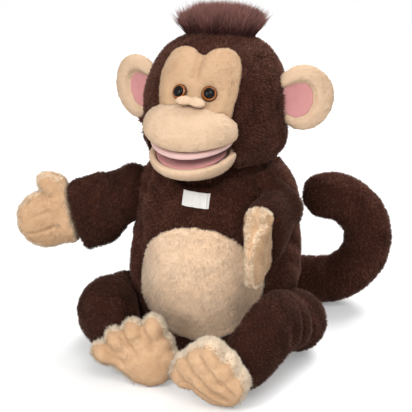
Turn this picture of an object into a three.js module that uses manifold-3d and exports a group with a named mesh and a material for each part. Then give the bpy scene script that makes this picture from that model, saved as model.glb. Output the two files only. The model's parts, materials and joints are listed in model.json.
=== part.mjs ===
// A sitting monkey hand puppet sewn from plush, in millimetres, +Z up, facing -Y.
// The origin is the middle of the flat seat that the puppet sits on.
// The torso is a hollow sleeve of sewn panels with a hand opening in its back. The hand goes up through
// the neck collar into the head, the fingers over the upper mouth board and the thumb under the lower one.
import * as THREE from "three";
import { mergeVertices } from "three/addons/utils/BufferGeometryUtils.js";
import Module from "manifold-3d";

const wasm = await Module();
wasm.setup();

const V = (x, y, z) => new THREE.Vector3(x, y, z);
const rad = THREE.MathUtils.degToRad;

// Cloth and sewing
const PLUSH = 4; // plush with its backing and a thin layer of wadding
const SEAM = 0.3; // gap along every seam
const JAW_ROOM = 1; // what the jaw keeps from the collar, besides the seam
const LINING = 1.2;
const LABEL = 0.8;
const BOARD = 1.5; // stiff board behind each half of the mouth
const WELD = 1e-3;

// Torso
const TORSO_HEIGHT = 158;
const SEAT_HALF_WIDTH = 53;
const HIP_HEIGHT = 28;
const HIP_HALF_WIDTH = 65;
const BELLY_HEIGHT = 70;
const BELLY_HALF_WIDTH = 71;
const SHOULDER_HEIGHT = 126;
const SHOULDER_HALF_WIDTH = 65;
const NECK_HALF_WIDTH = 49;
const TORSO_DEPTH_SHARE = 0.84; // depth over width, below the shoulders
const SEAT_PANEL_HEIGHT = 9;
const FRONT_ANGLE = 55; // degrees from straight ahead to the front side seams
const BACK_ANGLE = 125; // degrees from straight ahead to the back side seams
const BELLY_PATCH_HALF_WIDTH = 52;
const BELLY_PATCH_HALF_HEIGHT = 50;
const BELLY_PATCH_MIDDLE = 69;
const BAG_HEIGHT = 40; // top of the bead bag in the seat
const BAG_DEPTH_SHARE = 0.9;
const OPENING_HALF_WIDTH = 33;
const OPENING_HALF_HEIGHT = 38;
const OPENING_MIDDLE = 92;
const BINDING = 3.5;
const BINDING_PROUD = 1.2;
const LABEL_WIDTH = 22;
const LABEL_HEIGHT = 14;
const LABEL_DROP = 16; // its middle under the torso's top
const LABEL_MIDDLE = TORSO_HEIGHT - LABEL_DROP;
const NECKLINE_DIP = 9; // how far the front neckline lies under the torso's top
const NECKLINE_RISE = 14;
const NECKLINE_SIDE = 10;

// Neck
const COLLAR_RADIUS = 42;
const COLLAR_HOLE_RADIUS = 35;
const COLLAR_HALF_HEIGHT = 14;
const COLLAR_ABOVE_TORSO = 2;

// Head
const HEAD_HALF_WIDTH = 56;
const HEAD_HALF_DEPTH = 64;
const HEAD_HALF_HEIGHT = 57;
const HEAD_FORWARD = 4;
const HEAD_SIDE = 3; // the stuffed head leans to its left by this
const HEAD_ABOVE_COLLAR = 47;
const HEAD_BOTTOM = 40; // flat underside of the hood, below the head's middle
const NAPE_SLOPE = 10; // degrees that the underside rises behind the neck, so that the head can tilt
const JOWL_POWER = 0.3; // the lower half stays wide: 1 would be round
const CROWN_LEVEL = 13; // underside of the crown padding, above the head's middle
const MASK_PROUD = 6;
const MASK_LIFT = 2;
const MASK_HALF_WIDTH = 31;
const MASK_LOBE_RADIUS = 18.5;
const MASK_LOBE_TOP = 52;
const MASK_NOTCH = 43;
const MASK_BOTTOM = -13;
const MASK_TAPER = 7; // each side draws in by this at the bottom
const MASK_LOBE_START = 56; // degrees above level where a lobe leaves the notch
const TUFT_HALF_WIDTH = 33;
const TUFT_HALF_DEPTH = 22;
const TUFT_HEIGHT = 24;
const TUFT_ROOT_SHARE = 0.74; // half widths as shares of the widest
const TUFT_BASE_SHARE = 0.8;
const TUFT_TOP_SHARE = 0.86;
const TUFT_WIDEST_AT = 0.66; // heights as shares of the whole
const TUFT_TOP_AT = 0.92;
const TUFT_BACK = 16;
const TUFT_SIDE = 2;
const TUFT_SUNK = 1; // the crown stands this far into the tuft

// Eyes
const EYE_RADIUS = 6;
const EYE_SPACING = 23;
const EYE_HEIGHT = 25;
const EYE_DOME = 3.6;
const EYE_EDGE = 0.4; // the dome's upright edge
const EYE_SHOULDER_OUT = 0.8; // the dome's shoulder, as shares of its radius and height
const EYE_SHOULDER_UP = 0.62;
const PUPIL_SEAT = 0.5; // the pupil's level and height, as shares of the dome
const PUPIL_DOME = 0.75;
const PUPIL_RADIUS = 4.3;
const SHANK_RADIUS = 2;
const WASHER_RADIUS = 7;
const WASHER = 1.8;
const WASHER_ROOM = 2;
const WASHER_SEAT = 2.2; // the washer stands this far off the hood's curved inside

// Muzzle and mouth
const MUZZLE_HALF_WIDTH = 39;
const MUZZLE_HALF_DEPTH = 40;
const MUZZLE_HALF_HEIGHT = 24.5;
const MUZZLE_FORWARD = 54;
const MUZZLE_SIDE = -5; // the mouth hangs to the other side of the head's middle
const MUZZLE_LIFT = -3.5;
const LIP_LEVEL = -17; // plane under the muzzle, above the head's middle
const LIP = 5;
const LIP_INSET = 0.5; // the muzzle overhangs the lip
const NOSE_HALF_WIDTH = 7;
const NOSE_RADIUS = 5;
const NOSE_FORWARD = 75;
const NOSE_LOBE_OUT = 0.7; // a lobe's middle, as a share of its half width
const NOSE_PROUD = 0.2; // its middle above the muzzle, as a share of its radius
const HINGE_FORWARD = 24;
const HINGE_RADIUS = 3.5;
const HINGE_LENGTH = 60;
const JAW_HALF_WIDTH = 33;
const JAW_HALF_DEPTH = 35;
const JAW_HALF_HEIGHT = 15;
const JAW_FORWARD = 32;
const JAW_RIM = 6;
const JAW_SIDE_ROOM = 2;
const JAW_TOP_SHARE = 0.4; // rim under the hinge, as a share of the hinge's radius
const JAW_BOWL_DROP = 1;
const MOUTH_FLOOR = 2.6;
const MOUTH_REST_ANGLE = 5; // degrees open as it stands
const MOUTH_OPENS = 20; // degrees further that it can open

// Ears
const EAR_HALF_WIDTH = 25;
const EAR_HALF_HEIGHT = 28;
const EAR_HALF_THICKNESS = 9;
const LEFT_EAR_OUT = 71;
const RIGHT_EAR_OUT = 66;
const EAR_BACK = 8;
const EAR_LIFT = 9;
const EAR_TURN = 22; // degrees that the cup looks outwards
const EAR_RIM = 8;
const EAR_CUP_DEPTH = 9;
const EAR_CUP_SHIFT = 0.8; // towards the head, as a share of the rim
const EAR_LINING_DEPTH = 0.5; // the lining's edge, as a share of the half thickness

// Arms and hands
const RIGHT_SHOULDER_OUT = 72;
const LEFT_SHOULDER_OUT = 56; // this arm points ahead, so its root lies deeper in the side
const RIGHT_SHOULDER_FORWARD = 16;
const LEFT_SHOULDER_FORWARD = 20;
const SHOULDER_BALL = 23;
const ARM_LENGTH = 44;
const ARM_HALF_HEIGHT = 28;
const ARM_HALF_DEPTH = 19;
const WRIST_HALF_HEIGHT = 28;
const WRIST_DROP = 6; // the sleeve's end hangs below the shoulder's level
const WRIST_HALF_DEPTH = 15;
const HAND_LENGTH = 54;
const HAND_HALF_HEIGHT = 26;
const HAND_HALF_DEPTH = 12;
const HAND_DROP = 5; // the mitten hangs below the wrist's middle
const HAND_LONGER = 2; // half length over half height
const CUFF_SHARE = 0.93; // the hand's root over the sleeve's end
const PALM_SHARE = 0.9;
const THUMB_LENGTH = 36;
const THUMB_RADIUS = 10.5;
const THUMB_RISE = 36; // degrees that the thumb points up
const THUMB_ALONG = 0.2; // share of the hand's length
const THUMB_UP = 0.8; // share of the wrist's half height
const RIGHT_ARM_DROOP = 15;
const RIGHT_ARM_YAW = 7;
const LEFT_ARM_DROOP = 6;
const LEFT_ARM_YAW = 89;
const ARM_RAISES = 35;
const RIGHT_ARM_LOWERS = 25;
const LEFT_ARM_LOWERS = 6; // the knee is under this hand

// Legs and feet
const HIP_OUT = 73;
const HIP_FORWARD = 14;
const HIP_LIFT = 31;
const HIP_BALL = 27;
const KNEE_RADIUS = 28;
const ANKLE_RADIUS = 23;
const SOLE_HALF_LENGTH = 27;
const SOLE_HALF_WIDTH = 24;
const SOLE_HALF_THICKNESS = 13;
const TOE_RADIUS = 9.5;
const TOE_HALF_LENGTH = 13;
const TOE_SPACING = 15.5;
const TOE_FAN = 16; // degrees from one toe to the next
const TOE_ROW_SHIFT = 0.3; // the row of toes is off the sole's middle by this share of the spacing
const TOE_ROW_REACH = 0.85; // share of the sole's half length
const TOE_ROW_CURVE = 2.2;
const TOE_LONGEST = -0.7; // place in the row
const TOE_PROUD = 2;
const THIGH_SHARE = 0.9; // thickness at the hip over the hip's ball
const LEG_HANGS = 40; // degrees that a leg swings down when the puppet is lifted
const LEG_REACH = 100; // the legs' points from the hip are shares of this
const fromHip = (x, y, z) => V(x, y, z).multiplyScalar(LEG_REACH);
const RIGHT_LEG = {
  knee: fromHip(0.02, -0.46, 0.12),
  ankle: fromHip(0.42, -0.81, -0.06),
  foot: fromHip(0.46, -0.9, -0.06),
  toes: V(-0.56, 0, 0.83),
  sole: V(0.1, -1, 0),
};
const LEFT_LEG = {
  knee: fromHip(-0.14, -0.55, 0.19),
  ankle: fromHip(-0.32, -1.16, -0.1),
  foot: fromHip(-0.37, -1.18, -0.06),
  toes: V(-0.73, -0.1, 0.68),
  sole: V(-0.4, -0.9, -0.2),
};

// Tail
const TAIL_ROOT_LIFT = 26;
const TAIL_ROOT_OUT = 10; // the root ball's middle behind the torso
const TAIL_BALL = 15;
const TAIL_RADIUS = 21.5;
const TAIL_SWINGS_IN = 20;
const TAIL_SWINGS_OUT = 25;
const TAIL_REACH = 114; // to the side, from the root
const TAIL_BACK = 35;
const TAIL_RISE = 82; // from the floor to the top of the curl, along the tail's middle
const TAIL_LOW = TAIL_RADIUS - TAIL_ROOT_LIFT + 1; // the tail's middle where it lies on the floor
const alongTail = (x, y, z) => V(x * TAIL_REACH, y * TAIL_BACK, TAIL_LOW + z * TAIL_RISE);
const TAIL_PATH = [
  V(0, 0, 0),
  alongTail(0.08, 0.51, 0.02),
  alongTail(0.34, 0.91, 0),
  alongTail(0.79, 1, 0.05),
  alongTail(1, 1, 0.39),
  alongTail(0.98, 0.94, 0.78),
  alongTail(0.77, 0.89, 1),
  alongTail(0.49, 0.77, 0.93),
];
const TAIL_ROOT_SHARE = 0.86; // thickness at the root over the root's ball
const TAIL_TIP_SHARE = 0.9;

// Fineness of the faceted forms
const TORSO_SIDES = 24;
const HEAD_SIDES = 20;
const HEAD_RINGS = 16;
const BALL_SIDES = 22;
const COLLAR_SIDES = 28;
const SLEEVE_SIDES = 12;
const LIMB_SIDES = 10;
const SMALL_SIDES = 12;
const MUZZLE_SIDES = 18;
const BAG_SIDES = 16;
const EAR_SIDES = 14;
const TOE_SIDES = 8;
const TAIL_RINGS = 24;
const CARVE_STEPS = 9;
const FAR = 400; // reaches past the whole puppet

// Colours and finishes
const cloth = (color) => new THREE.MeshStandardMaterial({ color, roughness: 0.95, metalness: 0 });
const brownPlush = cloth(0x3a2118);
const beigePlush = cloth(0xe6c08f);
const pinkVelour = cloth(0xe2a0a4);
const tuftFur = cloth(0x4a2822);
const innerCotton = cloth(0xd8d2c6);
const wovenLabel = cloth(0xe9e7e2);
const boardPlastic = new THREE.MeshStandardMaterial({ color: 0xd9dbdc, roughness: 0.5, metalness: 0 });
const irisPlastic = new THREE.MeshStandardMaterial({ color: 0xa2531a, roughness: 0.12, metalness: 0 });
const pupilPlastic = new THREE.MeshStandardMaterial({ color: 0x0b0908, roughness: 0.06, metalness: 0 });
const washerPlastic = new THREE.MeshStandardMaterial({ color: 0xf0efec, roughness: 0.45, metalness: 0 });

// Solids from geometry and back

// Six times the volume inside a closed mesh, negative where its faces point inwards.
function signedVolume(spots, faces) {
  const corner = (index) => new THREE.Vector3().fromArray(spots, 3 * index);
  let sum = 0;
  for (let i = 0; i < faces.length; i += 3) {
    sum += corner(faces[i]).dot(corner(faces[i + 1]).cross(corner(faces[i + 2])));
  }
  return sum;
}

function toSolid(geometry) {
  const loose = geometry.index ? geometry.toNonIndexed() : geometry;
  const bare = new THREE.BufferGeometry().setAttribute("position", loose.getAttribute("position"));
  const merged = mergeVertices(bare, WELD);
  const index = merged.index.array;
  const spots = merged.getAttribute("position").array;
  const faces = [];
  for (let i = 0; i < index.length; i += 3) {
    const [a, b, c] = [index[i], index[i + 1], index[i + 2]];
    if (a !== b && b !== c && c !== a) faces.push(a, b, c);
  }
  if (signedVolume(spots, faces) < 0) faces.reverse();
  const mesh = new wasm.Mesh({ numProp: 3, vertProperties: spots, triVerts: new Uint32Array(faces) });
  return new wasm.Manifold(mesh);
}

function toGeometry(solid) {
  const mesh = solid.getMesh();
  const geometry = new THREE.BufferGeometry();
  geometry.setAttribute("position", new THREE.BufferAttribute(mesh.vertProperties, 3));
  geometry.setIndex(new THREE.BufferAttribute(mesh.triVerts, 1));
  geometry.computeVertexNormals();
  return geometry;
}

function piece(name, solid, material) {
  const mesh = new THREE.Mesh(toGeometry(solid), material);
  mesh.name = name;
  return mesh;
}

function group(position, parts, rotation = new THREE.Euler()) {
  const made = new THREE.Group();
  made.position.copy(position);
  made.rotation.copy(rotation);
  made.add(...parts);
  return made;
}

const moved = (solid, matrix) => toSolid(toGeometry(solid).applyMatrix4(matrix));
const join = (solids) => solids.reduce((whole, next) => whole.add(next));
const cut = (solid, cutters) => cutters.reduce((left, cutter) => left.subtract(cutter), solid);

// Plain forms

function ellipsoid(middle, radii, turn = new THREE.Euler(), sides = SMALL_SIDES) {
  const ball = new THREE.SphereGeometry(1, sides, Math.round(sides * 0.6));
  ball.rotateX(Math.PI / 2);
  const place = new THREE.Matrix4().compose(middle, new THREE.Quaternion().setFromEuler(turn), radii);
  return toSolid(ball.applyMatrix4(place));
}

// A hollow that a faceted ball of this radius can turn in.
const hollowRadius = (radius, sides = BALL_SIDES) => radius / Math.cos(Math.PI / sides) ** 2 + SEAM;
const ball = (middle, radius, sides = BALL_SIDES) =>
  ellipsoid(middle, V(radius, radius, radius), undefined, sides);

function block(low, high) {
  const size = high.clone().sub(low);
  const box = new THREE.BoxGeometry(size.x, size.y, size.z);
  const middle = low.clone().add(high).multiplyScalar(0.5);
  return toSolid(box.translate(middle.x, middle.y, middle.z));
}

// A cylinder from one point to another.
function rod(from, to, radius, sides = SMALL_SIDES) {
  const along = to.clone().sub(from);
  const bar = new THREE.CylinderGeometry(radius, radius, along.length(), sides);
  const turn = new THREE.Quaternion().setFromUnitVectors(V(0, 1, 0), along.clone().normalize());
  const middle = from.clone().add(to).multiplyScalar(0.5);
  return toSolid(bar.applyMatrix4(new THREE.Matrix4().compose(middle, turn, V(1, 1, 1))));
}

function ovalShape(halfWidth, halfHeight, x = 0, y = 0) {
  return new THREE.Shape().absellipse(x, y, halfWidth, halfHeight, 0, 2 * Math.PI, false);
}

// An outline in X and Z pushed along Y from one depth to another.
function frontPrism(shape, fromY, toY, curveSegments = 10) {
  const prism = new THREE.ExtrudeGeometry(shape, { depth: toY - fromY, bevelEnabled: false, curveSegments });
  return toSolid(prism.rotateX(Math.PI / 2).translate(0, toY, 0));
}

// An outline in X and Y, lying flat, with its edges rounded.
function pad(shape, bottom, thickness, rounding) {
  const slab = new THREE.ExtrudeGeometry(shape, {
    depth: thickness - 2 * rounding,
    bevelEnabled: rounding > 0,
    bevelThickness: rounding,
    bevelSize: rounding,
    bevelOffset: -rounding,
    bevelSegments: 2,
    curveSegments: 10,
  });
  return toSolid(slab.translate(0, 0, bottom + rounding));
}

// A stuffed form along a path. Each station is [share of the path, half width, half height], and the ends
// are rounded over a share of the path.
function stuffed(path, stations, rounding, up = V(0, 0, 1), sides = LIMB_SIDES, rings = 9) {
  const form = new THREE.SphereGeometry(1, sides, rings);
  const spots = form.getAttribute("position");
  const between = (share, column) => {
    const next = Math.max(1, stations.findIndex((station) => station[0] >= share));
    const [low, high] = [stations[next - 1], stations[next]];
    const eased = THREE.MathUtils.smoothstep(share, low[0], high[0]);
    return THREE.MathUtils.lerp(low[column], high[column], eased);
  };
  const roundedBy = (share, length) => (share < length ? Math.sqrt(1 - (1 - share / length) ** 2) : 1);
  for (let i = 0; i < spots.count; i++) {
    const share = Math.acos(THREE.MathUtils.clamp(spots.getY(i), -1, 1)) / Math.PI;
    const angle = Math.atan2(spots.getZ(i), spots.getX(i));
    const swell = roundedBy(share, rounding[0]) * roundedBy(1 - share, rounding[1]);
    const along = path.getTangentAt(share);
    const across = up.clone().cross(along).normalize();
    const over = along.clone().cross(across);
    const spot = path.getPointAt(share);
    spot.addScaledVector(across, Math.cos(angle) * between(share, 1) * swell);
    spot.addScaledVector(over, Math.sin(angle) * between(share, 2) * swell);
    spots.setXYZ(i, spot.x, spot.y, spot.z);
  }
  return toSolid(form);
}

const curve = (points) => new THREE.CatmullRomCurve3(points, false, "centripetal");
const mirrored = (solid) => moved(solid, new THREE.Matrix4().makeScale(-1, 1, 1));

// Where the limbs and the neck are joined to the torso

const rightShoulder = V(-RIGHT_SHOULDER_OUT, -RIGHT_SHOULDER_FORWARD, SHOULDER_HEIGHT);
const leftShoulder = V(LEFT_SHOULDER_OUT, -LEFT_SHOULDER_FORWARD, SHOULDER_HEIGHT);
const hipPivot = (side) => V(side * HIP_OUT, -HIP_FORWARD, HIP_LIFT);
const collarPivot = V(0, 2, TORSO_HEIGHT + COLLAR_ABOVE_TORSO);

// The torso's half width at a height, as one smooth line from the seat to the neck.
const torsoLine = new THREE.SplineCurve([
  new THREE.Vector2(SEAT_HALF_WIDTH, 0),
  new THREE.Vector2(HIP_HALF_WIDTH, HIP_HEIGHT),
  new THREE.Vector2(BELLY_HALF_WIDTH, BELLY_HEIGHT),
  new THREE.Vector2(SHOULDER_HALF_WIDTH, SHOULDER_HEIGHT),
  new THREE.Vector2(NECK_HALF_WIDTH, TORSO_HEIGHT),
]);
const torsoProfile = torsoLine.getPoints(9);

// The torso turns from an oval to a round neck above the shoulders.
function depthShare(height) {
  const round = THREE.MathUtils.smoothstep(height, SHOULDER_HEIGHT, TORSO_HEIGHT);
  return THREE.MathUtils.lerp(TORSO_DEPTH_SHARE, 1, round);
}

function torsoWidthAt(height) {
  const above = torsoProfile.findIndex((spot) => spot.y >= height);
  const [low, high] = [torsoProfile[Math.max(above, 1) - 1], torsoProfile[Math.max(above, 1)]];
  return THREE.MathUtils.mapLinear(height, low.y, high.y, low.x, high.x);
}

const torsoDepthAt = (height) => torsoWidthAt(height) * depthShare(height);

// The way out of the torso's side at a point beside it.
function outwards(spot) {
  const level = V(spot.x / torsoWidthAt(spot.z) ** 2, spot.y / torsoDepthAt(spot.z) ** 2, 0).normalize();
  const lean = (torsoWidthAt(spot.z - PLUSH) - torsoWidthAt(spot.z + PLUSH)) / (2 * PLUSH);
  return level.setZ(lean).normalize();
}

// How far the torso reaches in a direction.
function torsoReach(direction) {
  const rings = torsoProfile.map((ring) => {
    const level = Math.hypot(direction.x * ring.x, direction.y * ring.x * depthShare(ring.y));
    return level + direction.z * ring.y;
  });
  return Math.max(...rings);
}

// A limb in its own frame, cut off square where the torso's side would meet it as its joint turns to each
// limit. The cut reaches a given way from the joint.
function clearOfTorso(limb, turn, pivot, axis, limits, reach = FAR) {
  const away = outwards(pivot);
  const depth = torsoReach(away) + SEAM - away.dot(pivot);
  const back = new THREE.Quaternion().setFromEuler(turn).invert();
  const sides = limits.map((angle) => {
    const direction = away.clone().applyAxisAngle(axis, -rad(angle)).applyQuaternion(back);
    const side = new THREE.BoxGeometry(2 * reach, 2 * reach, FAR).translate(0, 0, depth - FAR / 2);
    return toSolid(side.applyQuaternion(new THREE.Quaternion().setFromUnitVectors(V(0, 0, 1), direction)));
  });
  return cut(limb, sides);
}

// A limb in its own frame, hollowed by the torso's form as its joint turns through its range.
function carvedByTorso(limb, turn, pivot, axis, limits) {
  const shares = Array.from({ length: CARVE_STEPS }, (_, step) => step / (CARVE_STEPS - 1));
  const back = new THREE.Quaternion().setFromEuler(turn).invert();
  const rooms = shares.map((share) => {
    const angle = -rad(THREE.MathUtils.lerp(...limits, share));
    const form = toGeometry(plainTorso(-2 * SEAM)).translate(-pivot.x, -pivot.y, -pivot.z);
    form.applyQuaternion(new THREE.Quaternion().setFromAxisAngle(axis, angle));
    return toSolid(form.applyQuaternion(back));
  });
  return cut(limb, rooms);
}

const tailPivot = V(0, torsoDepthAt(TAIL_ROOT_LIFT) + TAIL_ROOT_OUT, TAIL_ROOT_LIFT);

const sockets = [
  { middle: leftShoulder, radius: SHOULDER_BALL },
  { middle: rightShoulder, radius: SHOULDER_BALL },
  { middle: hipPivot(1), radius: HIP_BALL },
  { middle: hipPivot(-1), radius: HIP_BALL },
  { middle: tailPivot, radius: TAIL_BALL },
];

// The torso's outer form moved inwards by inset.
function plainTorso(inset) {
  const open = inset > 0 ? FAR : 0;
  const inner = torsoProfile.map((spot) => new THREE.Vector2(spot.x - inset, Math.max(spot.y, inset)));
  const top = inner[inner.length - 1];
  const outline = [new THREE.Vector2(0, inner[0].y), ...inner];
  outline.push(new THREE.Vector2(top.x, top.y + open + SEAM), new THREE.Vector2(0, top.y + open + SEAM));
  const form = new THREE.LatheGeometry(outline, TORSO_SIDES);
  form.rotateX(Math.PI / 2);
  const spots = form.getAttribute("position");
  for (let i = 0; i < spots.count; i++) {
    const share = depthShare(Math.min(spots.getZ(i), TORSO_HEIGHT));
    const out = Math.hypot(spots.getX(i), spots.getY(i));
    const shift = out > 0 ? ((out + inset) * share - inset) / out : 1;
    spots.setY(i, spots.getY(i) * shift);
  }
  return toSolid(form);
}

// The same with hollows where the limbs are set in.
function torsoForm(inset) {
  const deeper = Math.max(inset, 0);
  const hollows = sockets.map(({ middle, radius }) => ball(middle, hollowRadius(radius) + deeper));
  return cut(plainTorso(inset), hollows);
}

// A slice of the torso in plan, between two angles from straight ahead, half a seam clear of its neighbours.
function sector(from, to) {
  const direction = (angle) => new THREE.Vector2(Math.sin(rad(angle)), -Math.cos(rad(angle)));
  const half = (to - from) / 2;
  const apex = direction(from + half).multiplyScalar(SEAM / 2 / Math.sin(rad(half)));
  const corners = [from, from + half, to].map((angle) => direction(angle).multiplyScalar(FAR).add(apex));
  const slice = new THREE.Shape([apex, ...corners]);
  return toSolid(new THREE.ExtrudeGeometry(slice, { depth: FAR, bevelEnabled: false }));
}

function openingOval(inset) {
  const oval = ovalShape(OPENING_HALF_WIDTH - inset, OPENING_HALF_HEIGHT - inset, 0, OPENING_MIDDLE);
  return frontPrism(oval, 0, FAR);
}

// Torso

function torsoParts() {
  const collarRoom = ball(collarPivot, hollowRadius(COLLAR_RADIUS, COLLAR_SIDES), COLLAR_SIDES);
  const outer = torsoForm(0);
  const shell = cut(outer, [torsoForm(PLUSH), collarRoom, openingOval(-SEAM), chinRoom()]);
  const below = block(V(-FAR, -FAR, -FAR), V(FAR, FAR, SEAT_PANEL_HEIGHT));
  const above = block(V(-FAR, -FAR, SEAT_PANEL_HEIGHT + SEAM), V(FAR, FAR, FAR));
  const wall = shell.intersect(above);
  const patch = (grow) => {
    const half = [BELLY_PATCH_HALF_WIDTH + grow, BELLY_PATCH_HALF_HEIGHT + grow];
    return frontPrism(ovalShape(...half, 0, BELLY_PATCH_MIDDLE), -FAR, 0);
  };
  const front = wall.intersect(sector(-FRONT_ANGLE, FRONT_ANGLE));
  const panel = (from, to) => wall.intersect(sector(from, to));
  return [
    piece("chest_panel", front.subtract(patch(SEAM)), brownPlush),
    piece("belly_panel", front.intersect(patch(0)), beigePlush),
    piece("left_flank_panel", panel(FRONT_ANGLE, BACK_ANGLE), brownPlush),
    piece("right_flank_panel", panel(-BACK_ANGLE, -FRONT_ANGLE), brownPlush),
    piece("left_back_panel", panel(BACK_ANGLE, 180), brownPlush),
    piece("right_back_panel", panel(-180, -BACK_ANGLE), brownPlush),
    piece("seat_panel", shell.intersect(below), brownPlush),
    beadBag(),
    handSleeve(),
    openingBinding(),
    chestLabel(),
  ];
}

// The front neckline dips under the chin, so that the jaw can open.
function chinRoom() {
  const ahead = JAW_FORWARD + HINGE_FORWARD + HEAD_FORWARD;
  const middle = V(HEAD_SIDE + MUZZLE_SIDE, -ahead, TORSO_HEIGHT + NECKLINE_RISE);
  const radii = V(JAW_HALF_WIDTH + NECKLINE_SIDE, JAW_HALF_DEPTH, NECKLINE_DIP + NECKLINE_RISE);
  return ellipsoid(middle, radii, undefined, BAG_SIDES);
}

// The cloth bag of beads that weighs the seat down.
function beadBag() {
  const half = (BAG_HEIGHT - PLUSH - SEAM) / 2;
  const middle = V(0, 0, PLUSH + SEAM + half);
  const width = HIP_OUT - HIP_BALL - PLUSH - 3 * SEAM;
  const bag = ellipsoid(middle, V(width, width * BAG_DEPTH_SHARE, half), undefined, BAG_SIDES);
  return piece("seat_bead_bag", bag.intersect(torsoForm(PLUSH + SEAM)), innerCotton);
}

// The cotton sleeve that the hand slides into, turning up from the back opening to the collar.
function handSleeve() {
  const mouth = V(0, torsoDepthAt(OPENING_MIDDLE), OPENING_MIDDLE);
  const top = V(0, collarPivot.y, collarPivot.z - COLLAR_HALF_HEIGHT - SEAM);
  const corner = V(0, collarPivot.y, OPENING_MIDDLE);
  const wall = (inset) => {
    const past = V(0, inset, inset);
    const path = new THREE.QuadraticBezierCurve3(
      mouth.clone().setY(mouth.y + past.y), corner, top.clone().setZ(top.z + past.z));
    const stations = [
      [0, OPENING_HALF_HEIGHT - BINDING - inset, OPENING_HALF_WIDTH - BINDING - inset],
      [1, COLLAR_HOLE_RADIUS + LINING - inset, COLLAR_HOLE_RADIUS + LINING - inset],
    ];
    return stuffed(path, stations, [0.001, 0.001], V(1, 0, 0), SLEEVE_SIDES);
  };
  const inside = torsoForm(PLUSH + LINING + SEAM);
  return piece("hand_sleeve", wall(0).subtract(wall(LINING)).intersect(inside), innerCotton);
}

function openingBinding() {
  const band = torsoForm(-BINDING_PROUD).subtract(torsoForm(PLUSH + LINING));
  const ring = openingOval(0).subtract(openingOval(BINDING));
  return piece("opening_binding", band.intersect(ring), brownPlush);
}

// A blank woven label on the chest.
function chestLabel() {
  const cover = torsoForm(-SEAM - LABEL).subtract(torsoForm(-SEAM));
  const low = V(-LABEL_WIDTH / 2, -FAR, LABEL_MIDDLE - LABEL_HEIGHT / 2);
  const high = V(LABEL_WIDTH / 2, 0, LABEL_MIDDLE + LABEL_HEIGHT / 2);
  return piece("chest_label", cover.intersect(block(low, high)), wovenLabel);
}

// Neck collar: a ring cut from a ball, so that the head can turn and nod on it.
function neckCollar() {
  const zone = block(V(-FAR, -FAR, -COLLAR_HALF_HEIGHT), V(FAR, FAR, COLLAR_HALF_HEIGHT));
  const hole = rod(V(0, 0, -COLLAR_RADIUS), V(0, 0, COLLAR_RADIUS), COLLAR_HOLE_RADIUS, COLLAR_SIDES);
  const ring = ball(V(0, 0, 0), COLLAR_RADIUS, COLLAR_SIDES).intersect(zone).subtract(hole);
  return group(collarPivot, [piece("neck_collar", ring, brownPlush)]);
}

// Head, in its own frame with its middle at the origin

const headMiddle = V(HEAD_SIDE, -HEAD_FORWARD, collarPivot.z + HEAD_ABOVE_COLLAR);
const collarInHead = collarPivot.clone().sub(headMiddle);
const hingeInHead = V(MUZZLE_SIDE, -HINGE_FORWARD, LIP_LEVEL - LIP - SEAM);

// A round dome over a lower half that stays wide down to the neck, where it is cut off flat.
function headForm(grow, middle = V(0, 0, 0)) {
  const outline = [];
  for (let ring = 0; ring <= HEAD_RINGS; ring += 1) {
    const angle = Math.PI * (ring / HEAD_RINGS - 0.5);
    const wide = Math.max(Math.cos(angle), 0) ** (angle < 0 ? JOWL_POWER : 1);
    outline.push(new THREE.Vector2(ring % HEAD_RINGS === 0 ? 0 : wide, Math.sin(angle)));
  }
  const form = new THREE.LatheGeometry(outline, HEAD_SIDES).rotateX(Math.PI / 2);
  form.scale(HEAD_HALF_WIDTH + grow, HEAD_HALF_DEPTH + grow, HEAD_HALF_HEIGHT + grow);
  const above = block(V(-FAR, -FAR, -HEAD_BOTTOM - grow), V(FAR, FAR, FAR));
  const napeAbove = above.rotate([NAPE_SLOPE, 0, 0]);
  return toSolid(form).intersect(above).intersect(napeAbove).translate(middle.toArray());
}

const maskMiddle = V(0, -MASK_PROUD, MASK_LIFT);
const maskForm = (grow) => headForm(grow, maskMiddle);

// Where the head's or the mask's surface lies in front of a point in X and Z.
function surfaceForward(middle, x, z) {
  const across = ((x - middle.x) / HEAD_HALF_WIDTH) ** 2 + ((z - middle.z) / HEAD_HALF_HEIGHT) ** 2;
  return middle.y - HEAD_HALF_DEPTH * Math.sqrt(1 - across);
}

// The eye's middle on the mask and the way that it looks.
function eyeSeat(side) {
  const [x, z] = [(side * EYE_SPACING) / 2, EYE_HEIGHT];
  const spot = V(x, surfaceForward(maskMiddle, x, z), z);
  const look = spot.clone().sub(maskMiddle);
  look.divide(V(HEAD_HALF_WIDTH ** 2, HEAD_HALF_DEPTH ** 2, HEAD_HALF_HEIGHT ** 2)).normalize();
  return { spot, look };
}

const eyeSeats = [-1, 1].map(eyeSeat);
const washerDepth = PLUSH + MASK_PROUD + WASHER_SEAT;
const shankLength = washerDepth + WASHER + SEAM;

// The holes that the eye shanks pass through, and the room for their washers.
const alongShank = ({ spot, look }, reach) => spot.clone().addScaledVector(look, reach * shankLength);
const shankHoles = eyeSeats.map((seat) => rod(alongShank(seat, -2), alongShank(seat, 1), SHANK_RADIUS + SEAM));
const washerRooms = eyeSeats.map((seat) => rod(alongShank(seat, -2), seat.spot, WASHER_RADIUS + WASHER_ROOM));

// The mouth's place in the hood, which the jaw and the hinge fold need free.
function mouthRoom() {
  const half = JAW_HALF_WIDTH + JAW_SIDE_ROOM;
  const low = V(MUZZLE_SIDE - half, -FAR, hingeInHead.z - 2 * JAW_HALF_HEIGHT);
  const high = V(MUZZLE_SIDE + half, HINGE_RADIUS - HINGE_FORWARD + JAW_SIDE_ROOM, LIP_LEVEL);
  return block(low, high);
}

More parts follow.
